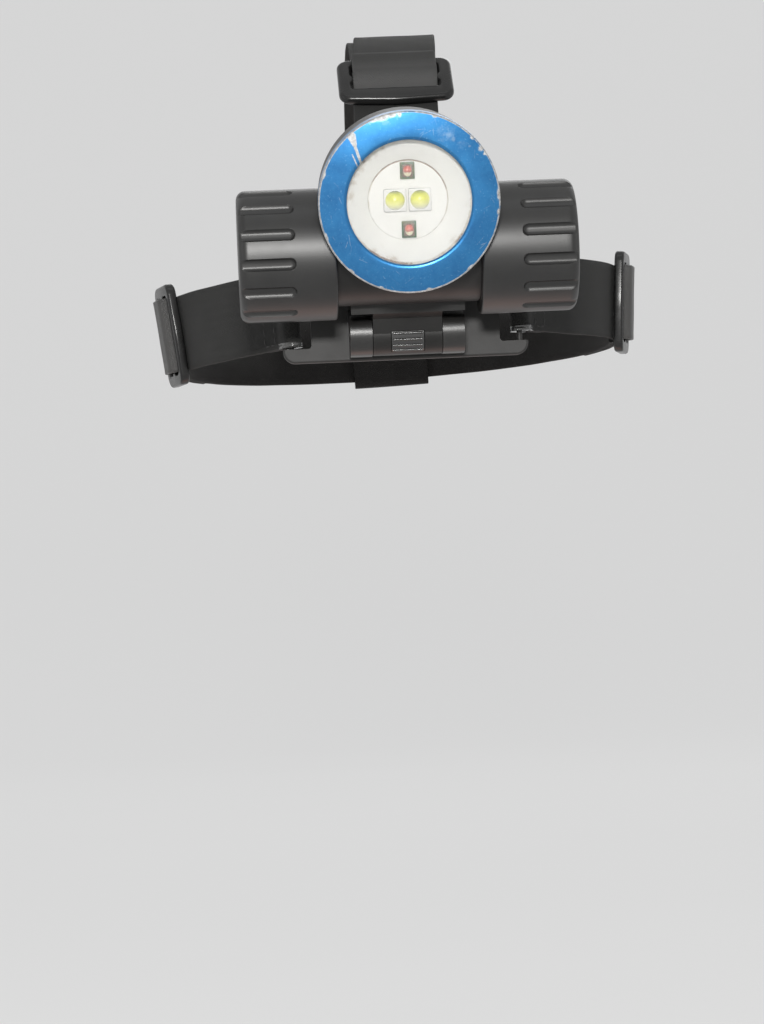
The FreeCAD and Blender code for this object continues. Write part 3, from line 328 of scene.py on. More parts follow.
def clear_window(name):
    """Flat glass: nearly all light passes, with a faint haze of fine scratches."""
    f = Finish(name, {"Alpha": 0.07})
    f.mat.surface_render_method = "BLENDED"
    haze = f.noise(260.0, 5.0, 0.7)
    rough = f.clouded(haze, 0.02, 0.09)
    return f.finish((0.93, 0.96, 0.97), rough, f.bump(haze, 0.000002, 0.1))


def phosphor(name):
    """Yellow phosphor under a clear dome, with a painted highlight of glare that turns it paler
    towards its lower edge.
    """
    f = Finish(name, {"Coat Weight": 1.0, "Coat Roughness": 0.04})
    cloud = f.noise(1500.0, 2.0)
    level = f.vary(f.attribute("rise"), cloud, 0.12)
    # Painted glare highlight low on the dome, and darker towards the top.
    base = f.ramp(level, (0.02, (0.88, 0.88, 0.74)), (0.3, (0.90, 0.89, 0.36)),
                  (0.6, (0.84, 0.84, 0.12)), (0.84, (0.72, 0.74, 0.10)),
                  (0.97, (0.24, 0.27, 0.08)))
    return f.finish(base, 0.35, f.bump(cloud, 0.00001, 0.2))


def red_emitter(name):
    """Red die in a clear moulding, with a painted pale highlight of glare on its lower part and
    darker towards the top.
    """
    f = Finish(name, {"Coat Weight": 1.0, "Coat Roughness": 0.05})
    cloud = f.noise(2200.0)
    level = f.vary(f.attribute("rise"), cloud, 0.35)
    # Painted glare highlight low on the dome, and darker towards the top.
    base = f.ramp(level, (0.0, (0.86, 0.84, 0.58)), (0.34, (0.84, 0.72, 0.52)),
                  (0.44, (0.42, 0.10, 0.07)), (0.6, (0.74, 0.20, 0.14)),
                  (0.9, (0.70, 0.16, 0.12)), (1.0, (0.16, 0.05, 0.04)))
    return f.finish(base, 0.3, f.bump(cloud, 0.00001, 0.2))


def board(name):
    """Green solder mask with faint copper runs."""
    f = Finish(name)
    base = f.clouded(f.noise(400.0), (0.035, 0.075, 0.035), (0.07, 0.15, 0.065))
    runs = f.ramp(f.noise(900.0, 0.0, 0.5, stretch=(1.0, 1.0, 0.15)), (0.5, 0.0), (0.56, 0.5))
    base = f.mix(runs, base, (0.20, 0.15, 0.07))
    return f.finish(base, 0.35, f.bump(runs, 0.00002, 0.3))


def rubber(name, colour=(0.018, 0.018, 0.018)):
    """Moulded rubber with a bloom of dust."""
    f = Finish(name)
    bloom = f.noise(240.0, 5.0, 0.65)
    base = f.ramp(bloom, (0.4, colour), (0.8, shade(colour, 2.2)))
    rough = f.clouded(bloom, 0.55, 0.78)
    return f.finish(base, rough, f.bump(f.noise(1600.0, 2.0), 0.00003, 0.4))


def sleeve(name):
    """Shrink sleeve of a cell: plain glossy film with slight wrinkles."""
    f = Finish(name)
    wrinkles = f.noise(300.0, 3.0, 0.5, stretch=(0.3, 1.0, 1.0))
    base = f.clouded(f.noise(90.0, 2.0), (0.16, 0.18, 0.21), (0.22, 0.24, 0.27))
    return f.finish(base, 0.25, f.bump(wrinkles, 0.00005, 0.3))


# Looks by material slot, then those that single pieces have
LOOKS = {
    "body_plastic": plastic("moulded_body", (0.009, 0.0085, 0.008), 0.42, depth=0.00002,
                            dust=0.12, gloss=0.38, rubbing=0.3),
    "cap_plastic": plastic("moulded_caps", (0.007, 0.0068, 0.0065), 0.41, 2600.0, 0.00002,
                           dust=0.08, gloss=0.7, rubbing=0.12, ringed=0.5),
    "buckle_plastic": plastic("moulded_buckles", (0.010, 0.010, 0.010), 0.26, 1800.0, 0.00001,
                              dust=0.1, gloss=0.42),
    "webbing": webbing("woven_webbing"),
    "blue_anodised": anodised("blue_anodising"),
    "clear_glass": clear_window("window_glass"),
    "white_dish": white_moulding("dish_white", (0.86, 0.85, 0.81), 0.45),
    "led_ceramic": package("package_white"),
    "led_phosphor": phosphor("dome_phosphor"),
    "green_board": board("solder_mask"),
    "red_emitter": red_emitter("dome_red"),
    "switch_plastic": plastic("switch_moulding", (0.05, 0.05, 0.05), 0.35),
    "bare_aluminium": metal("turned_aluminium", (0.75, 0.76, 0.78), 0.32),
    "steel": metal("drawn_steel", (0.56, 0.56, 0.57), 0.28),
    "brass": metal("plain_brass", (0.78, 0.6, 0.27), 0.3),
    "black_rubber": rubber("moulded_rubber"),
    "cell_sleeve": sleeve("cell_film"),
}
RED_PACKAGE_LOOK = package("package_brown", (0.20, 0.13, 0.09), (0.06, 0.07, 0.05))
FOLD_LOOK = webbing("rubbed_webbing", (0.046, 0.045, 0.044), rubbed=1.0)
# The flap is painted as lit: darker webbing, with a painted highlight along its lower part.
FLAP_PAINTED_LIGHT_LOOK = webbing("flap_webbing_painted_light", (0.020, 0.020, 0.0195), rubbed=0.4,
                    fold=(9.0, 19.0, (0.10, 0.10, 0.10)))
THREAD_LOOK = rubber("stitch_thread", (0.045, 0.045, 0.044))
MELTED_LOOK = plastic("melted_edge", (0.045, 0.045, 0.044), 0.16, 1100.0, 0.0003,
                      dust=0.3, gloss=1.0)
NODE_LOOKS = {
    "front_plate": plastic("moulded_plate", (0.011, 0.0105, 0.010), 0.6, 1500.0, 0.00004,
                           dust=0.2, gloss=0.62, rubbing=0.3, polish=(-0.1008, -0.1025, 0.34)),
    "latch_tab": plastic("moulded_latch", (0.014, 0.014, 0.0135), 0.2, depth=0.00001,
                         dust=0.1, gloss=1.0, rubbing=0.3),
    "hinge_pin": metal("blackened_pin", (0.06, 0.06, 0.06), 0.45),
}

for part in frame["record"]["subparts"]:
    node = frame["nodes"][part["node"]]
    look = NODE_LOOKS.get(part["node"], LOOKS[part["material_slot"]])
    if not node.material_slots:
        node.data.materials.append(look)
    for place in node.material_slots:
        place.material = look


# Mesh helpers

def add(name, data):
    made = bpy.data.objects.new(name, data)
    bpy.context.scene.collection.objects.link(made)
    return made


def make_piece(name, points, faces, body, slot, look=None, uvs=None, marks=None, sharp=35.0):
    """Mesh object from points in millimetres; uvs and marks hold a value per point."""
    mesh = bpy.data.meshes.new(name)
    mesh.from_pydata([(x * MM, y * MM, z * MM) for x, y, z in points], [], faces)
    work = bmesh.new()
    work.from_mesh(mesh)
    bmesh.ops.recalc_face_normals(work, faces=work.faces)
    work.to_mesh(mesh)
    work.free()
    mesh.polygons.foreach_set("use_smooth", [True] * len(mesh.polygons))
    mesh.set_sharp_from_angle(angle=radians(sharp))
    if uvs is not None:
        layer = mesh.uv_layers.new(name="lengths")
        for loop in mesh.loops:
            layer.data[loop.index].uv = uvs[loop.vertex_index]
    for key, values in (marks or {}).items():
        attribute = mesh.attributes.new(key, "FLOAT", "POINT")
        attribute.data.foreach_set("value", [float(v) for v in values])
    mesh.materials.append(look or LOOKS[slot])
    piece = add(name, mesh)
    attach(piece, body)
    return piece


def fine(low, high, step):
    """Values from low to high, both included, about a step apart."""
    count = max(1, round(abs(high - low) / step))
    return [low + (high - low) * i / count for i in range(count + 1)]


def rounded(corners, closed=False, steps=5):
    """Points along corners (u, v, radius), each corner rounded by its radius."""
    points = []
    count = len(corners)
    for index, (u, v, radius) in enumerate(corners):
        here = Vector((u, v))
        if radius <= 0 or (not closed and index in (0, count - 1)):
            points.append((u, v))
            continue
        before = (Vector(corners[index - 1][:2]) - here).normalized()
        after = (Vector(corners[(index + 1) % count][:2]) - here).normalized()
        half = before.angle(after) / 2
        reach = radius / tan(half)
        centre = here + (before + after).normalized() * (radius / sin(half))
        start = here + before * reach - centre
        end = here + after * reach - centre
        turn = start.angle_signed(end)
        for step in range(steps + 1):
            angle = -turn * step / steps
            c, s = cos(angle), sin(angle)
            points.append((centre.x + start.x * c - start.y * s,
                           centre.y + start.x * s + start.y * c))
    return points


def rectangle(u0, u1, v0, v1, radius):
    corners = [(u0, v0, radius), (u1, v0, radius), (u1, v1, radius), (u0, v1, radius)]
    return rounded(corners, True, 4)


def even(line, step):
    """The same line with points evenly spaced, and its length."""
    lengths = [0.0]
    for a, b in zip(line, line[1:]):
        lengths.append(lengths[-1] + (b - a).length)
    total = lengths[-1]
    count = max(4, round(total / step))
    out = []
    index = 0
    for i in range(count + 1):
        want = total * i / count
        while index < len(lengths) - 2 and lengths[index + 1] < want:
            index += 1
        span = lengths[index + 1] - lengths[index] or 1.0
        t = (want - lengths[index]) / span
        out.append(line[index].lerp(line[index + 1], t))
    return out, total


def grid_faces(rows, columns, wrap_rows=False, wrap_columns=True):
    faces = []
    for i in range(rows if wrap_rows else rows - 1):
        a, b = i * columns, (i + 1) % rows * columns
        for j in range(columns if wrap_columns else columns - 1):
            j2 = (j + 1) % columns
            faces.append((a + j, a + j2, b + j2, b + j))
    return faces


def tube_faces(rows, columns):
    """Faces round a row of rings, with both ends closed."""
    last = (rows - 1) * columns
    ends = [tuple(range(columns)), tuple(reversed(range(last, last + columns)))]
    return grid_faces(rows, columns) + ends


def moved(faces, base):
    """The same faces on points that start at base."""
    return [tuple(base + index for index in face) for face in faces]


def on_lamp(point):
    """Tilt a point drawn on the level lamp and carry it to the hinge."""
    x, y, z = point
    c, s = cos(radians(TILT_DEG)), sin(radians(TILT_DEG))
    return (x, HINGE_Y + y * c - z * s, HINGE_Z + y * s + z * c)


def about_barrel(radius, along, angle):
    return on_lamp((radius * cos(angle), along, BARREL_Z + radius * sin(angle)))


def about_tube(radius, along, angle):
    """Round the battery tube; angle 0 faces forward and a quarter turn faces down."""
    return on_lamp((along, TUBE_Y - radius * cos(angle), TUBE_Z - radius * sin(angle)))


def unmarked(radius, along, angle):
    return 0.0, 0.0


def turned(name, profile, steps, slot, mark=unmarked, place=about_barrel, closed=True):
    """Turned piece of the lamp from a profile of (radius, along).

    place(radius, along, angle) gives a point, and mark its wear and painted shade, and its rise.
    """
    angles = [2 * pi * index / steps for index in range(steps)]
    spots = [(radius, along, angle) for radius, along in profile for angle in angles]
    points = [place(*spot) for spot in spots]
    marks = dict(zip(("ring", "wear_and_shade", "rise"), zip(*[(spot[0], *mark(*spot)) for spot in spots])))
    faces = grid_faces(len(profile), steps, wrap_rows=closed)
    return make_piece(name, points, faces, "lamp", slot, marks=marks)


# Bezel ring with its wear; x and z from the ring's middle, angles in degrees from the right
RIM = 27.75
CHIP_EDGE = 27.45
FACE_Y = -37.66
# (start, end, half width at the start, half width at the end)
GOUGES = [((-17.0, 20.9), (-16.2, 18.4), 1.15, 0.55), ((-16.3, 18.6), (-14.4, 12.6), 0.35, 0.2),
          ((-17.0, 15.4), (-15.6, 11.9), 0.05, 0.04)]
# (angle, half its width in degrees, depth)
CHIPS = [(110, 3.2, 0.5), (105.5, 3.8, 0.95), (99.5, 2.4, 0.7), (94.6, 1.1, 0.9),
         (72, 1.3, 0.4), (35, 1.5, 0.8), (31, 0.9, 0.5), (44, 1.2, 0.4), (3, 3.2, 0.45),
         (352, 1.7, 0.35), (200, 2.2, 0.35), (228, 1.6, 0.35), (311, 2.2, 0.35),
         (281, 1.5, 0.4), (160, 2.2, 0.35), (250, 1.2, 0.3)]
# (x, z, size, strength)
SMUDGES = [(12.6, 20.3, 1.3, 0.4), (13.9, 19.0, 0.9, 0.36), (11.8, 20.6, 3.8, 0.2),
           (16.8, 17.0, 2.6, 0.16), (-6.5, 24.6, 1.6, 0.2), (18.9, 16.6, 0.5, 0.42)]
# (start, end, half width, strength)
SCRATCHES = []
for _ in range(46):
    at = random.uniform(0, 2 * pi)
    out = random.uniform(20.2, 26.8)
    turn = at + random.uniform(-1.2, 1.2) + pi / 2
    size = random.uniform(0.6, 3.6)
    a = (out * cos(at), out * sin(at))
    b = (a[0] + size * cos(turn), a[1] + size * sin(turn))
    SCRATCHES.append((a, b, random.uniform(0.04, 0.09), random.uniform(0.25, 0.5)))


def near_line(x, z, start, end):
    """Distance from a point on the ring's face to a scratch, and how far along it lies."""
    ax, az = start
    bx, bz = end
    length = (bx - ax) ** 2 + (bz - az) ** 2
    t = max(0.0, min(1.0, ((x - ax) * (bx - ax) + (z - az) * (bz - az)) / length))
    return hypot(x - ax - t * (bx - ax), z - az - t * (bz - az)), t


def soft_spots(x, z, marks):
    """Strength of each soft round spot at a point."""
    return [depth * exp(-((x - cx) ** 2 + (z - cz) ** 2) / size ** 2)
            for cx, cz, size, depth in marks]


def bezel_wear(radius, along, angle):
    x, z = radius * cos(angle), radius * sin(angle)
    wear_and_shade = 0.0
    rim = 1.0 - abs(radius - RIM) / 0.34
    if rim > 0 and along < -37.3:
        low_side = 0.5 - 0.5 * sin(angle + 0.5)
        uneven = 0.1 * sin(7 * angle) + 0.08 * sin(23 * angle + 1)
        wear_and_shade = min(1.0, 2.2 * rim) * (0.58 + 0.26 * low_side + uneven)
    if along < FACE_Y:
        for start, end, wide, narrow in GOUGES:
            gap, t = near_line(x, z, start, end)
            reach = wide + (narrow - wide) * t
            wear_and_shade = max(wear_and_shade, min(0.62 + 0.3 * t, 0.9 - (gap - reach) / 0.3))
        for at_deg, half, depth in CHIPS:
            turn = (degrees(angle) - at_deg + 180.0) % 360.0 - 180.0
            away = hypot(turn / half, max(0.0, CHIP_EDGE - radius) / depth)
            wear_and_shade = max(wear_and_shade, min(0.9, 1.12 - 0.62 * away))
        wear_and_shade = max(wear_and_shade, *soft_spots(x, z, SMUDGES))
        for start, end, width, depth in SCRATCHES:
            gap, _ = near_line(x, z, start, end)
            wear_and_shade = max(wear_and_shade, depth * min(1.0, max(0.0, 1.6 - gap / width)))
    return max(0.0, wear_and_shade), 0.0


def crowned(radius):
    """Front of the ring, which falls away a little towards the outer edge."""
    return -38.7 + 0.56 * max(0.0, (radius - 20.4) / 6.7) ** 1.5


bezel_profile = rounded([(25.0, -37.1, 0), (19.2, -37.1, 0.08), (19.2, -38.7, 0.7),
                         (27.6, -38.08, 0.12), (RIM, -37.95, 0), (27.9, -37.82, 0),
                         (28.0, -37.7, 0.1), (28.0, -37.45, 0), (28.0, -37.25, 0),
                         (28.0, -36.9, 0), (28.0, -33.5, 0), (25.0, -33.5, 0)])
face = [i for i, (r, a) in enumerate(bezel_profile) if a < -38.03 and r > 19.85]
inner, outer = face[:2]
crown = fine(bezel_profile[inner][0], bezel_profile[outer][0], 0.16)[1:-1]
bezel_profile[outer:outer] = [(r, crowned(r)) for r in crown]
bezel = turned("bezel_worn", bezel_profile, 900, "blue_anodised", bezel_wear)
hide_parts("bezel_ring")


# Window, dish and disc; a profile's 0.02 leaves a pinhole in place of a point

window_profile = [(0.02, -37.1), (24.7, -37.1), (24.7, -35.3), (0.02, -35.3)]
window = turned("window_pane", window_profile, 96, "clear_glass")
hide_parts("front_lens")

# (x, z, size, strength)
GRIME = [(-13.6, 12.4, 1.0, 0.5), (-14.4, 10.6, 1.3, 0.4), (-11.8, 13.6, 1.1, 0.36),
         (-7.6, 16.5, 0.8, 0.5), (-16.9, 6.2, 1.1, 0.34), (-17.6, 2.2, 1.2, 0.36),
         (-9.8, 14.9, 1.4, 0.26), (-15.4, 8.4, 1.0, 0.34), (-11.4, -14.6, 1.0, 0.3),
         (-5.4, -17.6, 1.1, 0.36), (13.2, -12.6, 0.8, 0.3), (-14.9, -10.6, 1.2, 0.26)]


def dish_grime_and_shade(radius, along, angle):
    """Grime near the rim, worst at the upper left and low on the left, and a dark ring just
    inside the bezel's lip, part grime and part painted shade.
    """
    x, z = radius * cos(angle), radius * sin(angle)
    rim = max(0.0, (radius - 15.4) / 4.0)
    upper_left = exp(-((angle - 2.2) / 0.7) ** 2)
    low_left = exp(-((angle - 4.3) / 0.4) ** 2)
    right = exp(-((angle - 5.6) / 0.4) ** 2)
    # Dark ring just inside the bezel's lip: part grime, part painted shade.
    seam = max(0.0, min(1.0, (radius - 18.75) / 0.3)) * (along < -34)
    patches = rim * (0.14 + 0.36 * upper_left + 0.3 * low_left + 0.12 * right)
    dirt_and_shade = patches + max(soft_spots(x, z, GRIME)) + seam * (0.42 + 0.3 * low_left + 0.2 * right)
    return dirt_and_shade, 0.0


dish_profile = rounded([(20.9, -35.1, 0), (19.8, -35.1, 0.35), (12.75, -30.98, 0.15),
                        (12.45, -30.82, 0.1), (12.45, -29.4, 0), (13.85, -29.4, 0),
                        (19.8, -33.7, 0), (20.9, -33.7, 0)])
dish_profile[7:7] = [(19.5 - 6.4 * t, -34.92 + 3.74 * t) for t in fine(0, 1, 0.04)]
dish = turned("dish_moulded", dish_profile, 180, "white_dish", dish_grime_and_shade)
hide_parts("reflector_dish")


def disc_seam_shadow(radius, along, angle):
    """Painted shadow: a dark line in the seam round the disc, strongest at the top."""
    return (0.62 + 0.55 * sin(angle + 0.2)) * (radius > 12.05), 0.0


disc_profile = rounded([(0.02, -30.9, 0), (11.9, -30.9, 0), (12.1, -30.9, 0),
                        (12.4, -30.9, 0.08), (12.4, -29.4, 0), (0.02, -29.4, 0)])
disc = turned("emitter_disc", disc_profile, 128, "white_dish", disc_seam_shadow)
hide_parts("led_disc")


# Light emitters

def rounded_plate(name, centre, half, corner, front, back, bevel, slot, look=None):
    """Rounded slab on the front of the disc, with a bevelled edge and painted shade marked on its
    sides.
    """
    wide, tall = half
    outline = rectangle(-wide, wide, -tall, tall, corner)
    rings = ((0.0, back), (0.0, front + bevel), (bevel * 0.3, front + bevel * 0.3),
             (bevel, front))
    points = [on_lamp((centre[0] + u * (1 - inset / wide), depth,
                       centre[1] + v * (1 - inset / tall)))
              for inset, depth in rings for u, v in outline]
    # Painted shade: the sides are marked darkest on the left and at the bottom, as if shadowed.
    side = [min(1.0, max(0.2, 0.6 - 0.5 * (u + v) / wide)) for u, v in outline]
    marks = {"wear_and_shade": side + side + [0.6 * t for t in side] + [0.0] * len(side)}
    faces = tube_faces(len(rings), len(outline))
    return make_piece(name, points, faces, "lamp", slot, look, marks=marks)


def dome_piece(name, x, z, base, radius, height, slot, tall=1.0):
    """Clear dome that stands forward of its base, marked with the height on its face."""
    ball = (radius * radius + height * height) / (2 * height)
    full = asin(min(1.0, radius / ball))
    profile = [(radius * 0.98, base - 0.001)]
    profile += [(ball * sin(full * t), base - (ball * cos(full * t) - (ball - height)))
                for t in fine(1, 0.004, 0.05)]

    def place(r, along, angle):
        return on_lamp((x + r * cos(angle), along, z + tall * r * sin(angle)))

    def mark(r, along, angle):
        return 0.0, 0.5 + 0.5 * r * sin(angle) / radius
    return turned(name, profile, 48, slot, mark, place, closed=False)


for index, x in enumerate((-4.05, 3.65)):
    piece = rounded_plate("package_%d" % index, (x, BARREL_Z), (3.5, 3.5), 0.45, -31.8, -30.9,
                          0.18, "led_ceramic")
    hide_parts("white_led_bases")
    piece = dome_piece("dome_%d" % index, x, BARREL_Z, -31.8, 3.0, 2.3, "led_phosphor")
    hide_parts("white_led_domes")

for index, side in enumerate((-1, 1)):
    z = BARREL_Z + side * 9.1
    small_board = rounded_plate("red_board_%d" % index, (0, z), (2.25, 2.6), 0.25, -31.7, -30.9,
                                0.08, "green_board")
    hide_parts("red_led_boards")
    base = rounded_plate("red_base_%d" % index, (0, z), (1.6, 1.95), 0.3, -32.4, -31.7, 0.12,
                         "red_emitter", RED_PACKAGE_LOOK)
    bulb = dome_piece("red_dome_%d" % index, 0, z, -32.4, 1.35, 1.35, "red_emitter", 1.32)
    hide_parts("red_leds")
    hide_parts("red_leds")


# Battery caps, each with its ring of round-bottomed thumb grooves, and the threads under them
GROOVES = 14
GROOVE_HALF = 1.96
GROOVE_DEPTH = 1.1
GROOVE_START = 35.1
NECK_START = 25.6
NECK_END = 33.2
THREAD_PITCH = 2.0


def battery_cap(side, first_deg, name, node):
    profile = rounded([(16.3, 34.8, 0), (16.3, 22.4, 0.15), (CAP_RADIUS, 22.4, 0.8),
                       (CAP_RADIUS, 52.8, 3.0), (0.02, 52.8, 0), (0.02, 49.4, 0),
                       (13.8, 49.4, 1.0), (13.8, 34.8, 0.2)], steps=8)
    outside = [i for i, (r, a) in enumerate(profile) if abs(r - CAP_RADIUS) < 1e-6]
    a0, a1 = profile[outside[0]][1], profile[outside[1]][1]
    alongs = fine(a0, 34.9, 1.0)[1:] + fine(34.9, 37.3, 0.1)[1:] + fine(37.3, a1, 1.2)[1:-1]
    profile[outside[1]:outside[1]] = [(CAP_RADIUS, a) for a in alongs]

    pitch = 2 * pi / GROOVES
    edge = GROOVE_HALF / CAP_RADIUS / pitch
    shares = [0.0] + [edge * sin(t * pi / 2) for t in fine(0, 1, 0.1)[1:]]
    shares += [edge + 0.006, edge + 0.02, edge + 0.06]
    shares += [edge + 0.06 + (0.5 - edge - 0.06) * t for t in (0.33, 0.66, 1.0)]
    angles = []
    for index in range(GROOVES):
        centre = radians(first_deg) + index * pitch
        angles += [centre - s * pitch for s in shares[1:-1]]
        angles += [centre + s * pitch for s in shares]
    angles.sort()

    points = []
    for radius, along in profile:
        grooved = along > 30 and (radius > 16.9 or along > 52.7)
        before = max(0.0, GROOVE_START + GROOVE_HALF - along)
        for angle in angles:
            r = radius
            if grooved:
                step = (angle - radians(first_deg)) / pitch
                across = (step - round(step)) * pitch * CAP_RADIUS
                reach = hypot(across, before) / GROOVE_HALF
                if reach < 1:
                    r = min(radius, CAP_RADIUS - GROOVE_DEPTH * (1 - reach ** 3.4))
            points.append(about_tube(r, side * along, angle))
    faces = grid_faces(len(profile), len(angles), wrap_rows=True)
    cap = make_piece(name, points, faces, node.replace("battery_", ""), "cap_plastic", sharp=40.0)
    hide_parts(node)


def neck_thread(side, name):
    """Low thread that winds along the neck and fades at both ends."""
    points = []
    alongs = fine(NECK_START, NECK_END, 0.2)
    steps = 96
    for along in alongs:
        fade = min(1.0, (along - NECK_START) / 0.8, (NECK_END - along) / 0.8)
        for index in range(steps):
            wave = cos(2 * pi * (along / THREAD_PITCH + index / steps))
            radius = 16.0 + 0.22 * fade * max(0.0, wave + 0.35) / 1.35 - 0.05 * (fade < 0.05)
            points.append(about_tube(radius, side * along, 2 * pi * index / steps))
    make_piece(name, points, grid_faces(len(alongs), steps), "lamp", "body_plastic")


battery_cap(1, 3.5, "cap_grooved_right", "battery_cap_right")
battery_cap(-1, -0.8, "cap_grooved_left", "battery_cap_left")
neck_thread(1, "neck_thread_right")
neck_thread(-1, "neck_thread_left")


# Webbing: each strap is a ribbon along the head's oval, drawn as (sideways or up, forward)

def oval_normal(p, angle):
    return Vector((cos(angle) / p, sin(angle) / HEAD_Q)).normalized()


def oval(p, angle, offset):
    return Vector((p * cos(angle), HEAD_Q * sin(angle))) + oval_normal(p, angle) * offset


def leaving(p, bar):
    """Straight run from a bar to an oval: angle and normal where it touches, way, length."""
    reach = hypot(bar.x / p, bar.y / HEAD_Q)
    touch = atan2(bar.y / HEAD_Q, bar.x / p) - acos(1 / reach)
    run = oval(p, touch, 0) - bar
    return touch, oval_normal(p, touch), run.normalized(), run.length


def swell(a):
    """Height of a strap's middle at a distance from its bar."""
    if a >= EASE:
        return LEVEL
    t = (EASE - a) / EASE
    return LEVEL + (LOOP - LEVEL) * (3 * t * t - 2 * t ** 3)


def strap_line(p, bar, end):
    """Middle of a strap sewn round a bar: sewn end, loop, straight run, then along the oval."""
    touch, normal, along, run = leaving(p, bar)
    line = [bar + along * a - normal * swell(a) for a in fine(SEWN, 0, 0.7)[:-1]]
    line += [bar - along * (LOOP * sin(t)) - normal * (LOOP * cos(t))
             for t in fine(0, pi, 0.25)]
    line += [bar + along * a + normal * swell(a) for a in fine(0, run, 1.0)[1:-1]]
    return line + [oval(p, angle, LEVEL) for angle in fine(touch, end, 0.012)]


# Cross-section of a strap: (share of half the width, share of half the thickness)
SELVEDGE = [(1.018, 0.75), (1.03, 0.3), (1.03, -0.3), (1.018, -0.75)]
SECTION = [(t, 1.0) for t in fine(-1, 1, 0.14)] + SELVEDGE
SECTION += [(t, -1.0) for t in fine(1, -1, 0.14)] + [(-t, -h) for t, h in SELVEDGE]


def ribbon(name, lines, places, body, thick=1.45, step=0.9, waves=0.12, look=None):
    """Ribbon between two edge lines, each carried to 3-D by its own place function."""
    low, total = even(lines[0], step)
    high = even(lines[1], total / (len(low) - 1) * 1.0001)[0]
    count = min(len(low), len(high))
    low3 = [Vector(places[0](p.x, p.y)) for p in low[:count]]
    high3 = [Vector(places[1](p.x, p.y)) for p in high[:count]]
    points = []
    uvs = []
    phase = random.uniform(0, 6.28)
    length = 0.0
    for i in range(count):
        a, b = max(0, i - 1), min(count - 1, i + 1)
        middle = (low3[i] + high3[i]) / 2
        across = high3[i] - low3[i]
        half = across.length / 2 * 0.985
        across.normalize()
        travel = ((low3[b] + high3[b]) - (low3[a] + high3[a])).normalized()
        out = travel.cross(across).normalized()
        if i:
            length += (middle - (low3[i - 1] + high3[i - 1]) / 2).length
        sway = waves * (sin(length / 9.0 + phase) + 0.5 * sin(length / 3.7 + 2 * phase))
        for s, h in SECTION:
            ripple = 0.06 * waves / 0.12 * sin(length / 2.3 + 5 * s + phase)
            bead = 0.08 if abs(s) > 0.86 else 0.0
            lift = (thick / 2) * h * (1 + bead * abs(h)) + ripple * 0.5
            spot = middle + across * (s * half + sway * 0.35 * abs(s)) + out * lift
            points.append(tuple(spot))
            uvs.append((half + s * half if h > 0 else half - s * half, length))
    return make_piece(name, points, tube_faces(count, len(SECTION)), body, "webbing", look,
                      uvs=uvs, sharp=60.0)


def slanted(x, y, z):
    """Carry a point of the level band to where the band is worn."""
    c, s = cos(radians(-SLANT_DEG)), sin(radians(-SLANT_DEG))
    x, z = x * c + z * s, -x * s + z * c
    c, s = cos(radians(-TIP_DEG)), sin(radians(-TIP_DEG))
    return (x, y * c - z * s, y * s + z * c - DROP)


def side_place(height, side):
    return lambda p, q: slanted(side * p + TURN * (-BAR_Y - q), -q, height)


def top_place(across, lean, hold):
    """Line of a top strap that leans sideways and is in its own place where q is hold."""
    return lambda p, q: (across + lean * (hold - q), -q, p)


def edges(half, place, *rest):
    """Place functions of a strap's two edges."""
    return place(-half, *rest), place(half, *rest)


def stitches(name, rows, body):
    """Rows of thread: each row is (start, end, out) on the cloth, one capsule per stitch."""
    long, gap, thick = 2.3, 0.7, 0.27
    rings = fine(0, 1, 0.25)
    turns = fine(0, 2 * pi, pi / 3)[:-1]
    points = []
    faces = []
    for start, end, out in rows:
        count = max(1, round((end - start).length / (long + gap)))
        along = (end - start).normalized()
        across = along.cross(out).normalized()
        for index in range(count):
            faces += moved(tube_faces(len(rings), len(turns)), len(points))
            spot = start.lerp(end, (index + 0.5) / count)
            for t in rings:
                arch = sin(pi * t)
                size = thick * (0.5 + 0.5 * arch)
                middle = spot + along * ((t - 0.5) * long) + out * (0.2 * arch - 0.12)
                points += [middle + across * (size * cos(turn)) + out * (size * sin(turn))
                           for turn in turns]
    make_piece(name, points, faces, body, "webbing", THREAD_LOOK, sharp=60.0)


def sewn_box(sizes, bar, places):
    """Box of stitches on the outer layer of a strap, between two distances from its bar."""
    corners = []
    for a in (8.0, 14.5):
        row = []
        for p, place in zip(sizes, places):
            _, normal, along, _ = leaving(p, bar)
            spot = bar + along * a + normal * (LEVEL + 0.72)
            row.append(Vector(place(spot.x, spot.y)))
        inset = (row[1] - row[0]).normalized() * 1.6
        corners.append((row[0] + inset, row[1] - inset))
    (a0, a1), (b0, b1) = corners
    out = (b0 - a0).cross(a1 - a0).normalized()
    if out.y > 0:
        out = -out
    return [(a0, a1, out), (b0, b1, out), (a0, b0, out), (a1, b1, out)]


side_bar = Vector((BAR_X, -BAR_Y))
sizes = (HEAD_P - LEAN, HEAD_P + LEAN)
for side, label in ((1, "right"), (-1, "left")):
    lines = [strap_line(p, side_bar, SIDE_END) for p in sizes]
    places = edges(HALF, side_place, side)
    band = ribbon("band_woven_" + label, lines, places, "root")
    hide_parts("band_front_" + label)
    stitches("band_stitches_" + label, sewn_box(sizes, side_bar, places), "root")
    edge = [spot for spot in lines[0] if (spot - side_bar).length < 5.5]
    ribbon("band_melted_edge_" + label, (edge, edge),
           (side_place(-HALF - 0.15, side), side_place(-HALF + 1.5, side)), "root", thick=1.8,
           step=0.3, waves=0.3, look=MELTED_LOOK)

start = radians(SIDE_ANGLE - LAP_DEG)
lines = [[oval(p, a, -LEVEL) for a in fine(start, -pi - start, 0.012)] for p in sizes]
rear = ribbon("band_woven_rear", lines, edges(HALF, side_place, 1), "root")
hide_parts("band_rear")

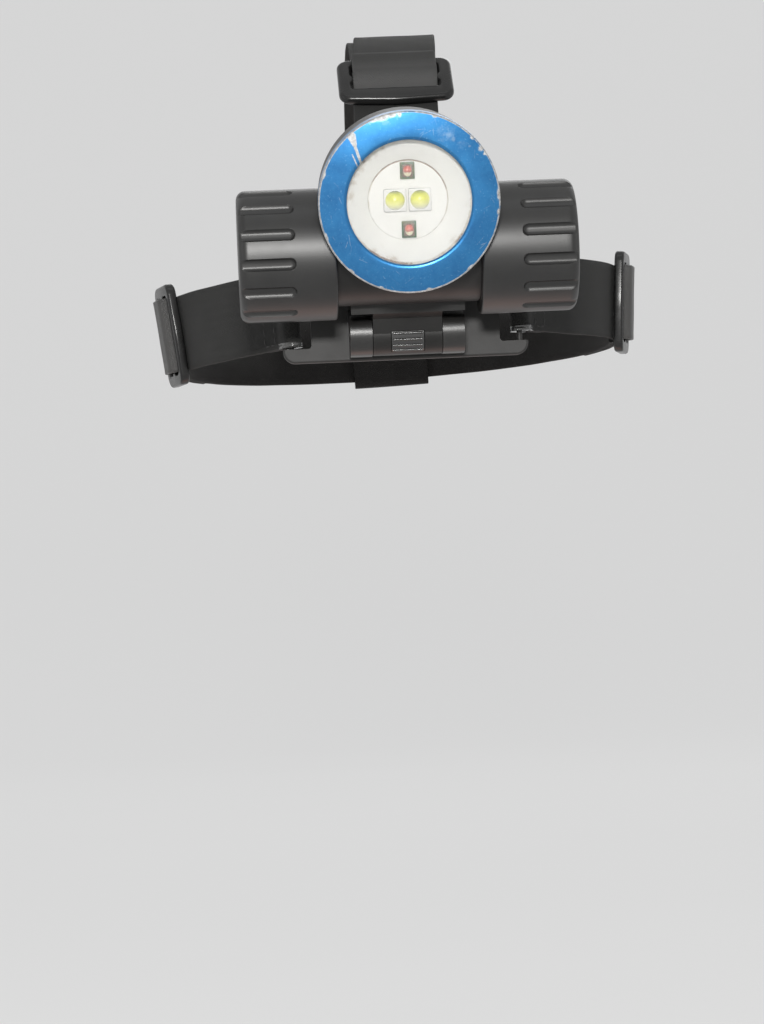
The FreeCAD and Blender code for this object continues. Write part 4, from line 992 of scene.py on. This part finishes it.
TOP_Q = HEAD_Q * sin(radians(TOP_ANGLE))
TOP_X = TOP_LEAN * (-BAR_Y - TOP_Q)
REAR_X = TURN * (HEAD_Q - BAR_Y)
top_bar = Vector((TOP_BAR_Z, -BAR_Y))
line = strap_line(CROWN_P, top_bar, TOP_END)
places = edges(TOP_HALF, top_place, TOP_LEAN, -BAR_Y)
strap = ribbon("top_woven_front", (line, line), places, "root")
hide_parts("top_strap_front")
stitches("top_stitches", sewn_box((CROWN_P, CROWN_P), top_bar, places), "root")

rear_lean = (REAR_X - TOP_X) / (TOP_Q + HEAD_Q)
rear_hold = TOP_Q + TOP_X / rear_lean
loop_half = HALF + WEB_THICK + 0.6
rear_drop = DROP + HEAD_Q * sin(radians(TIP_DEG))
start = radians(TOP_ANGLE - LAP_DEG)
end = -acos((loop_half + 1.0 - rear_drop) / CROWN_P)
line = [oval(CROWN_P, a, -LEVEL) for a in fine(start, end, 0.012)]
places = edges(TOP_HALF, top_place, rear_lean, rear_hold)
strap = ribbon("top_woven_rear", (line, line), places, "root")
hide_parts("top_strap_rear")


def rear_loop():
    """End of the top strap folded round the rear band: a flat sleeve with rounded folds."""
    outer, inner, tall, fold, spacing = 1.0, -2.9, 14.4, 0.75, 1.2
    ring = rounded([(outer, tall, fold), (outer, -tall, fold), (inner, -tall, fold),
                    (inner, tall, fold)], True, 5)
    spots = even([Vector(p) for p in ring + ring[:1]], spacing)[0][:-1]
    columns = fine(-TOP_HALF, TOP_HALF, 1.8)

    def behind(x, out, z):
        """Point behind the head, out from the band, which curves away from its middle."""
        sag = x * x / (2 * HEAD_P * HEAD_P / HEAD_Q)
        return slanted(x + REAR_X, HEAD_Q + out - sag, z)
    points = []
    uvs = []
    for layer in (0.75, -0.75):
        for j, s in enumerate(spots):
            before, after = spots[j - 1], spots[(j + 1) % len(spots)]
            tangent = (after - before).normalized()
            out = Vector((-tangent.y, tangent.x))
            if out.dot(s - Vector(((outer + inner) / 2, 0))) < 0:
                out = -out
            d = s + out * layer
            for x in columns:
                points.append(behind(x, d.x, d.y))
                uvs.append((x + 12.5, j * spacing))
    count = len(spots)
    wide = len(columns)
    sleeve_faces = grid_faces(count, wide, wrap_rows=True, wrap_columns=False)
    faces = sleeve_faces + moved(sleeve_faces, count * wide)
    for edge in (0, wide - 1):
        border = [j * wide + edge for j in range(2 * count)]
        faces += [tuple(border[i] for i in face) for face in grid_faces(2, count)]
    piece = make_piece("rear_loop_woven", points, faces, "root", "webbing", uvs=uvs, sharp=60.0)
    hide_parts("rear_strap_loop")

    def sewn(u, v):
        return Vector(behind(u, 1.78, v))
    out = Vector((0, 1, 0))
    u, v = 12.0, 11.5
    rows = []
    for z in (-v, v):
        rows += [(sewn(-u, z), sewn(0.0, z), out), (sewn(0.0, z), sewn(u, z), out)]
    rows += [(sewn(x, -v), sewn(x, v), out) for x in (-u, u)]
    stitches("rear_loop_stitches", rows, "root")


rear_loop()


# Strap adjusters: a place function carries (along, across, out) from an adjuster's middle

def seat(p, angle):
    """Place of an adjuster on its oval, and the way out from there."""
    return oval(p, angle, 2.0), oval_normal(p, angle)


def side_frame(side):
    angle = radians(SIDE_ANGLE)
    spot, normal = seat(HEAD_P, angle)
    out = Vector((normal.x, -normal.y, 0))
    up = Vector((0, 0, 1))
    lean = radians(LEAN_DEG) * cos(angle)
    v = out * sin(lean) + up * cos(lean)
    w = out * cos(lean) - up * sin(lean)
    u = v.cross(w)
    centre = Vector((spot.x, -spot.y, 0))

    def place(a, b, c):
        p = centre + u * a + v * b + w * c
        return slanted(side * p.x + TURN * (-BAR_Y - spot.y), p.y, p.z)
    return place


def top_frame(a, b, c):
    spot, normal = seat(CROWN_P, radians(TOP_ANGLE))
    w = Vector((0, -normal.y, normal.x))
    v = Vector((1, 0, 0))
    u = v.cross(w)
    return tuple(Vector((TOP_X, -spot.y, spot.x)) + u * a + v * b + w * c)


def ring_solid(outline, openings, place, name, body, edge):
    """Flat frame between an outline and its openings, with rounded edges all over."""
    half_thick = 1.6
    curve = bpy.data.curves.new(name + "_outline", "CURVE")
    curve.dimensions = "2D"
    curve.fill_mode = "BOTH"
    curve.extrude = (half_thick - edge) * MM
    curve.bevel_depth = edge * MM
    curve.bevel_resolution = 4
    curve.offset = -edge * MM
    for line in [outline] + openings:
        spline = curve.splines.new("POLY")
        spline.points.add(len(line) - 1)
        for point, (a, b) in zip(spline.points, line):
            point.co = (a * MM, b * MM, 0, 1)
        spline.use_cyclic_u = True
    holder = add(name + "_outline", curve)
    bpy.context.view_layer.update()
    shape = bpy.data.meshes.new_from_object(holder.evaluated_get(
        bpy.context.evaluated_depsgraph_get()))
    work = bmesh.new()
    work.from_mesh(shape)
    bmesh.ops.remove_doubles(work, verts=work.verts, dist=0.002 * MM)
    work.verts.ensure_lookup_table()
    spots = [vert.co * METRE for vert in work.verts]
    points = [place(a, b, c + half_thick) for a, b, c in spots]
    faces = [tuple(v.index for v in face.verts) for face in work.faces]
    work.free()
    bpy.data.objects.remove(holder)
    bpy.data.meshes.remove(shape)
    return make_piece(name, points, faces, body, "buckle_plastic", sharp=50.0)


def hump(name, place, body, spread, flap):
    """Webbing that rises through one slot, crosses the middle bar and dips into the other.

    The top adjuster's is a flap, which reaches back over the rear bar.
    """
    foot = 6.6 * spread - 0.25
    corners = [(-foot, -0.2, 0), (2.45 - foot, 4.8, 2.1), (foot - 2.45, 4.8, 2.1),
               (foot, -0.2, 0)]
    if flap:
        corners = [(-14.0, 0.5, 0), (-12.0, 4.4, 1.6), (0.2, 5.2, 4.2), (3.9, -0.2, 0)]
    line = even([Vector(p) for p in rounded(corners, steps=8)], 0.5)[0]

    def carry(b):
        return lambda a, c: place(a, b, c)
    return ribbon(name, (line, line), edges(HALF * spread, carry), body, thick=1.5, step=0.5,
                  waves=0.1, look=FLAP_PAINTED_LIGHT_LOOK if flap else FOLD_LOOK)


def adjuster(place, name, body, node, hump_node, spread=1.0, flap=False):
    u, v, bow = 10.0 * spread, 17.25 * spread, 1.3
    outline = rounded([(-u, -v, 4.0), (u, -v, 4.0), (u + bow, 0, 40.0), (u, v, 4.0),
                       (-u, v, 4.0), (-u - bow, 0, 40.0)], True, 8)
    openings = []
    for side in (-1, 1):
        reach = 4.75 if flap and side == 1 else 6.6
        tall = 13.2 * spread - (0.45 if flap else 0.0)
        openings.append(rectangle(side * 1.7 * spread, side * reach * spread, -tall, tall, 0.8))
    frame_piece = ring_solid(outline, openings, place, name, body, 1.35 if flap else 0.85)
    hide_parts(node)
    cover = hump(name + "_webbing", place, body, spread, flap)
    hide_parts(hump_node)


adjuster(side_frame(1), "slide_right", "adjuster_right", "buckle_right", "strap_hump_right")
adjuster(side_frame(-1), "slide_left", "adjuster_left", "buckle_left", "strap_hump_left")
adjuster(top_frame, "slide_top", "adjuster_top", "buckle_top", "strap_hump_top",
         TOP_WIDTH / WEB_WIDTH, True)


# Stage, light and camera, in metres

def stage_look():
    """Pale matt floor that the camera sees nearly white, with the object's shadow kept."""
    f = Finish("pale_stage", {"Specular IOR Level": 0.1})
    base = f.clouded(f.noise(3.0, 2.0), (0.78, 0.78, 0.77), (0.82, 0.82, 0.81))
    f.finish(base, 0.9, f.bump(f.noise(40.0), 0.0005, 0.1))
    glow = f.node("Emission", {"Color": (0.86, 0.86, 0.86)})
    both = f.node("MixShader", {0: f.math("MULTIPLY", f.seen(), 0.72), 1: f.shader.outputs[0],
                                2: glow.outputs[0]})
    f.feed(f.tree.nodes["Material Output"].inputs["Surface"], both.outputs[0])
    return f.mat


def sweep(height, look):
    """Floor that sweeps up into a backdrop behind the object."""
    turn, near, far, side, top = 0.9, -3.0, 1.4, 4.0, 5.0
    line = [(near, height), (far, height)]
    line += [(far + turn * sin(a), height + turn * (1 - cos(a)))
             for a in fine(0, pi / 2, 0.08)[1:]]
    line.append((far + turn, height + top))
    points = [(x, y, z) for y, z in line for x in (-side, side)]
    mesh = bpy.data.meshes.new("sweep")
    mesh.from_pydata(points, [], grid_faces(len(line), 2, wrap_columns=False))
    mesh.polygons.foreach_set("use_smooth", [True] * len(mesh.polygons))
    mesh.materials.append(look)
    stage = add("sweep", mesh)


sweep(-0.24, stage_look())

# The world lights softly, and is as pale as the backdrop where it is seen
world = bpy.data.worlds.new("studio")
bpy.context.scene.world = world
world.use_nodes = True
sky = Nodes(world.node_tree)
sky.tree.nodes.clear()
soft = sky.node("Background", {"Color": (0.93, 0.96, 1.0), "Strength": 0.12})
pale = sky.node("Background", {"Color": (0.67, 0.67, 0.665), "Strength": 1.0})
both = sky.node("MixShader", {0: sky.seen(), 1: soft.outputs[0], 2: pale.outputs[0]})
sky.node("OutputWorld", {0: both.outputs[0]})


def soft_box(name, place, target, size, power, colour=(1.0, 1.0, 1.0)):
    light = bpy.data.lights.new(name, "AREA")
    light.shape = "RECTANGLE"
    light.size, light.size_y = size
    light.energy = power
    light.color = colour
    holder = add(name, light)
    holder.location = place
    direction = Vector(target) - Vector(place)
    holder.rotation_euler = direction.to_track_quat("-Z", "Y").to_euler()
    holder.visible_camera = False


soft_box("key", (-0.07, -1.2, 0.185), (0, -0.1, 0.0), (0.16, 0.09), 9.5, (1.0, 0.99, 0.97))
soft_box("sky", (0.0, -0.45, 1.2), (0, -0.08, 0.0), (0.9, 0.5), 0.9, (0.95, 0.98, 1.0))
soft_box("fill_left", (-1.3, -0.5, 0.2), (0, -0.05, 0.0), (0.4, 0.9), 0.8)
soft_box("fill_right", (1.3, -0.4, 0.25), (0, -0.05, 0.0), (0.4, 0.9), 0.7)
soft_box("back", (0.3, 1.3, 0.7), (0, 0.0, 0.0), (0.9, 0.5), 2.4)
soft_box("low_warm", (0.0, -0.02, -0.2), (0, -0.13, 0.0), (0.24, 0.1), 0.06, (1.0, 0.5, 0.38))

# The camera, as solved from the photograph: focal length in pixels over its height
FOCAL = 3483.6 / 1024
SENSOR = 36.0
EYE = (-0.06305, -1.21702, -0.07465)
scene = bpy.context.scene
scene.view_settings.view_transform = "Standard"
camera_data = bpy.data.cameras.new("camera")
camera = add("camera", camera_data)
scene.camera = camera
camera_data.sensor_fit = "VERTICAL"
camera_data.sensor_height = SENSOR
camera_data.lens = FOCAL * SENSOR
yaw, pitch, roll = radians(2.714), radians(0.383), radians(2.578)
forward = Vector((sin(yaw) * cos(pitch), cos(yaw) * cos(pitch), sin(pitch)))
level_right = Vector((cos(yaw), -sin(yaw), 0))
level_up = level_right.cross(forward)
right = level_right * cos(roll) - level_up * sin(roll)
up = level_up * cos(roll) + level_right * sin(roll)
camera.matrix_world = Matrix([(*axes, at) for *axes, at in zip(right, up, -forward, EYE)]
                             + [(0, 0, 0, 1)])
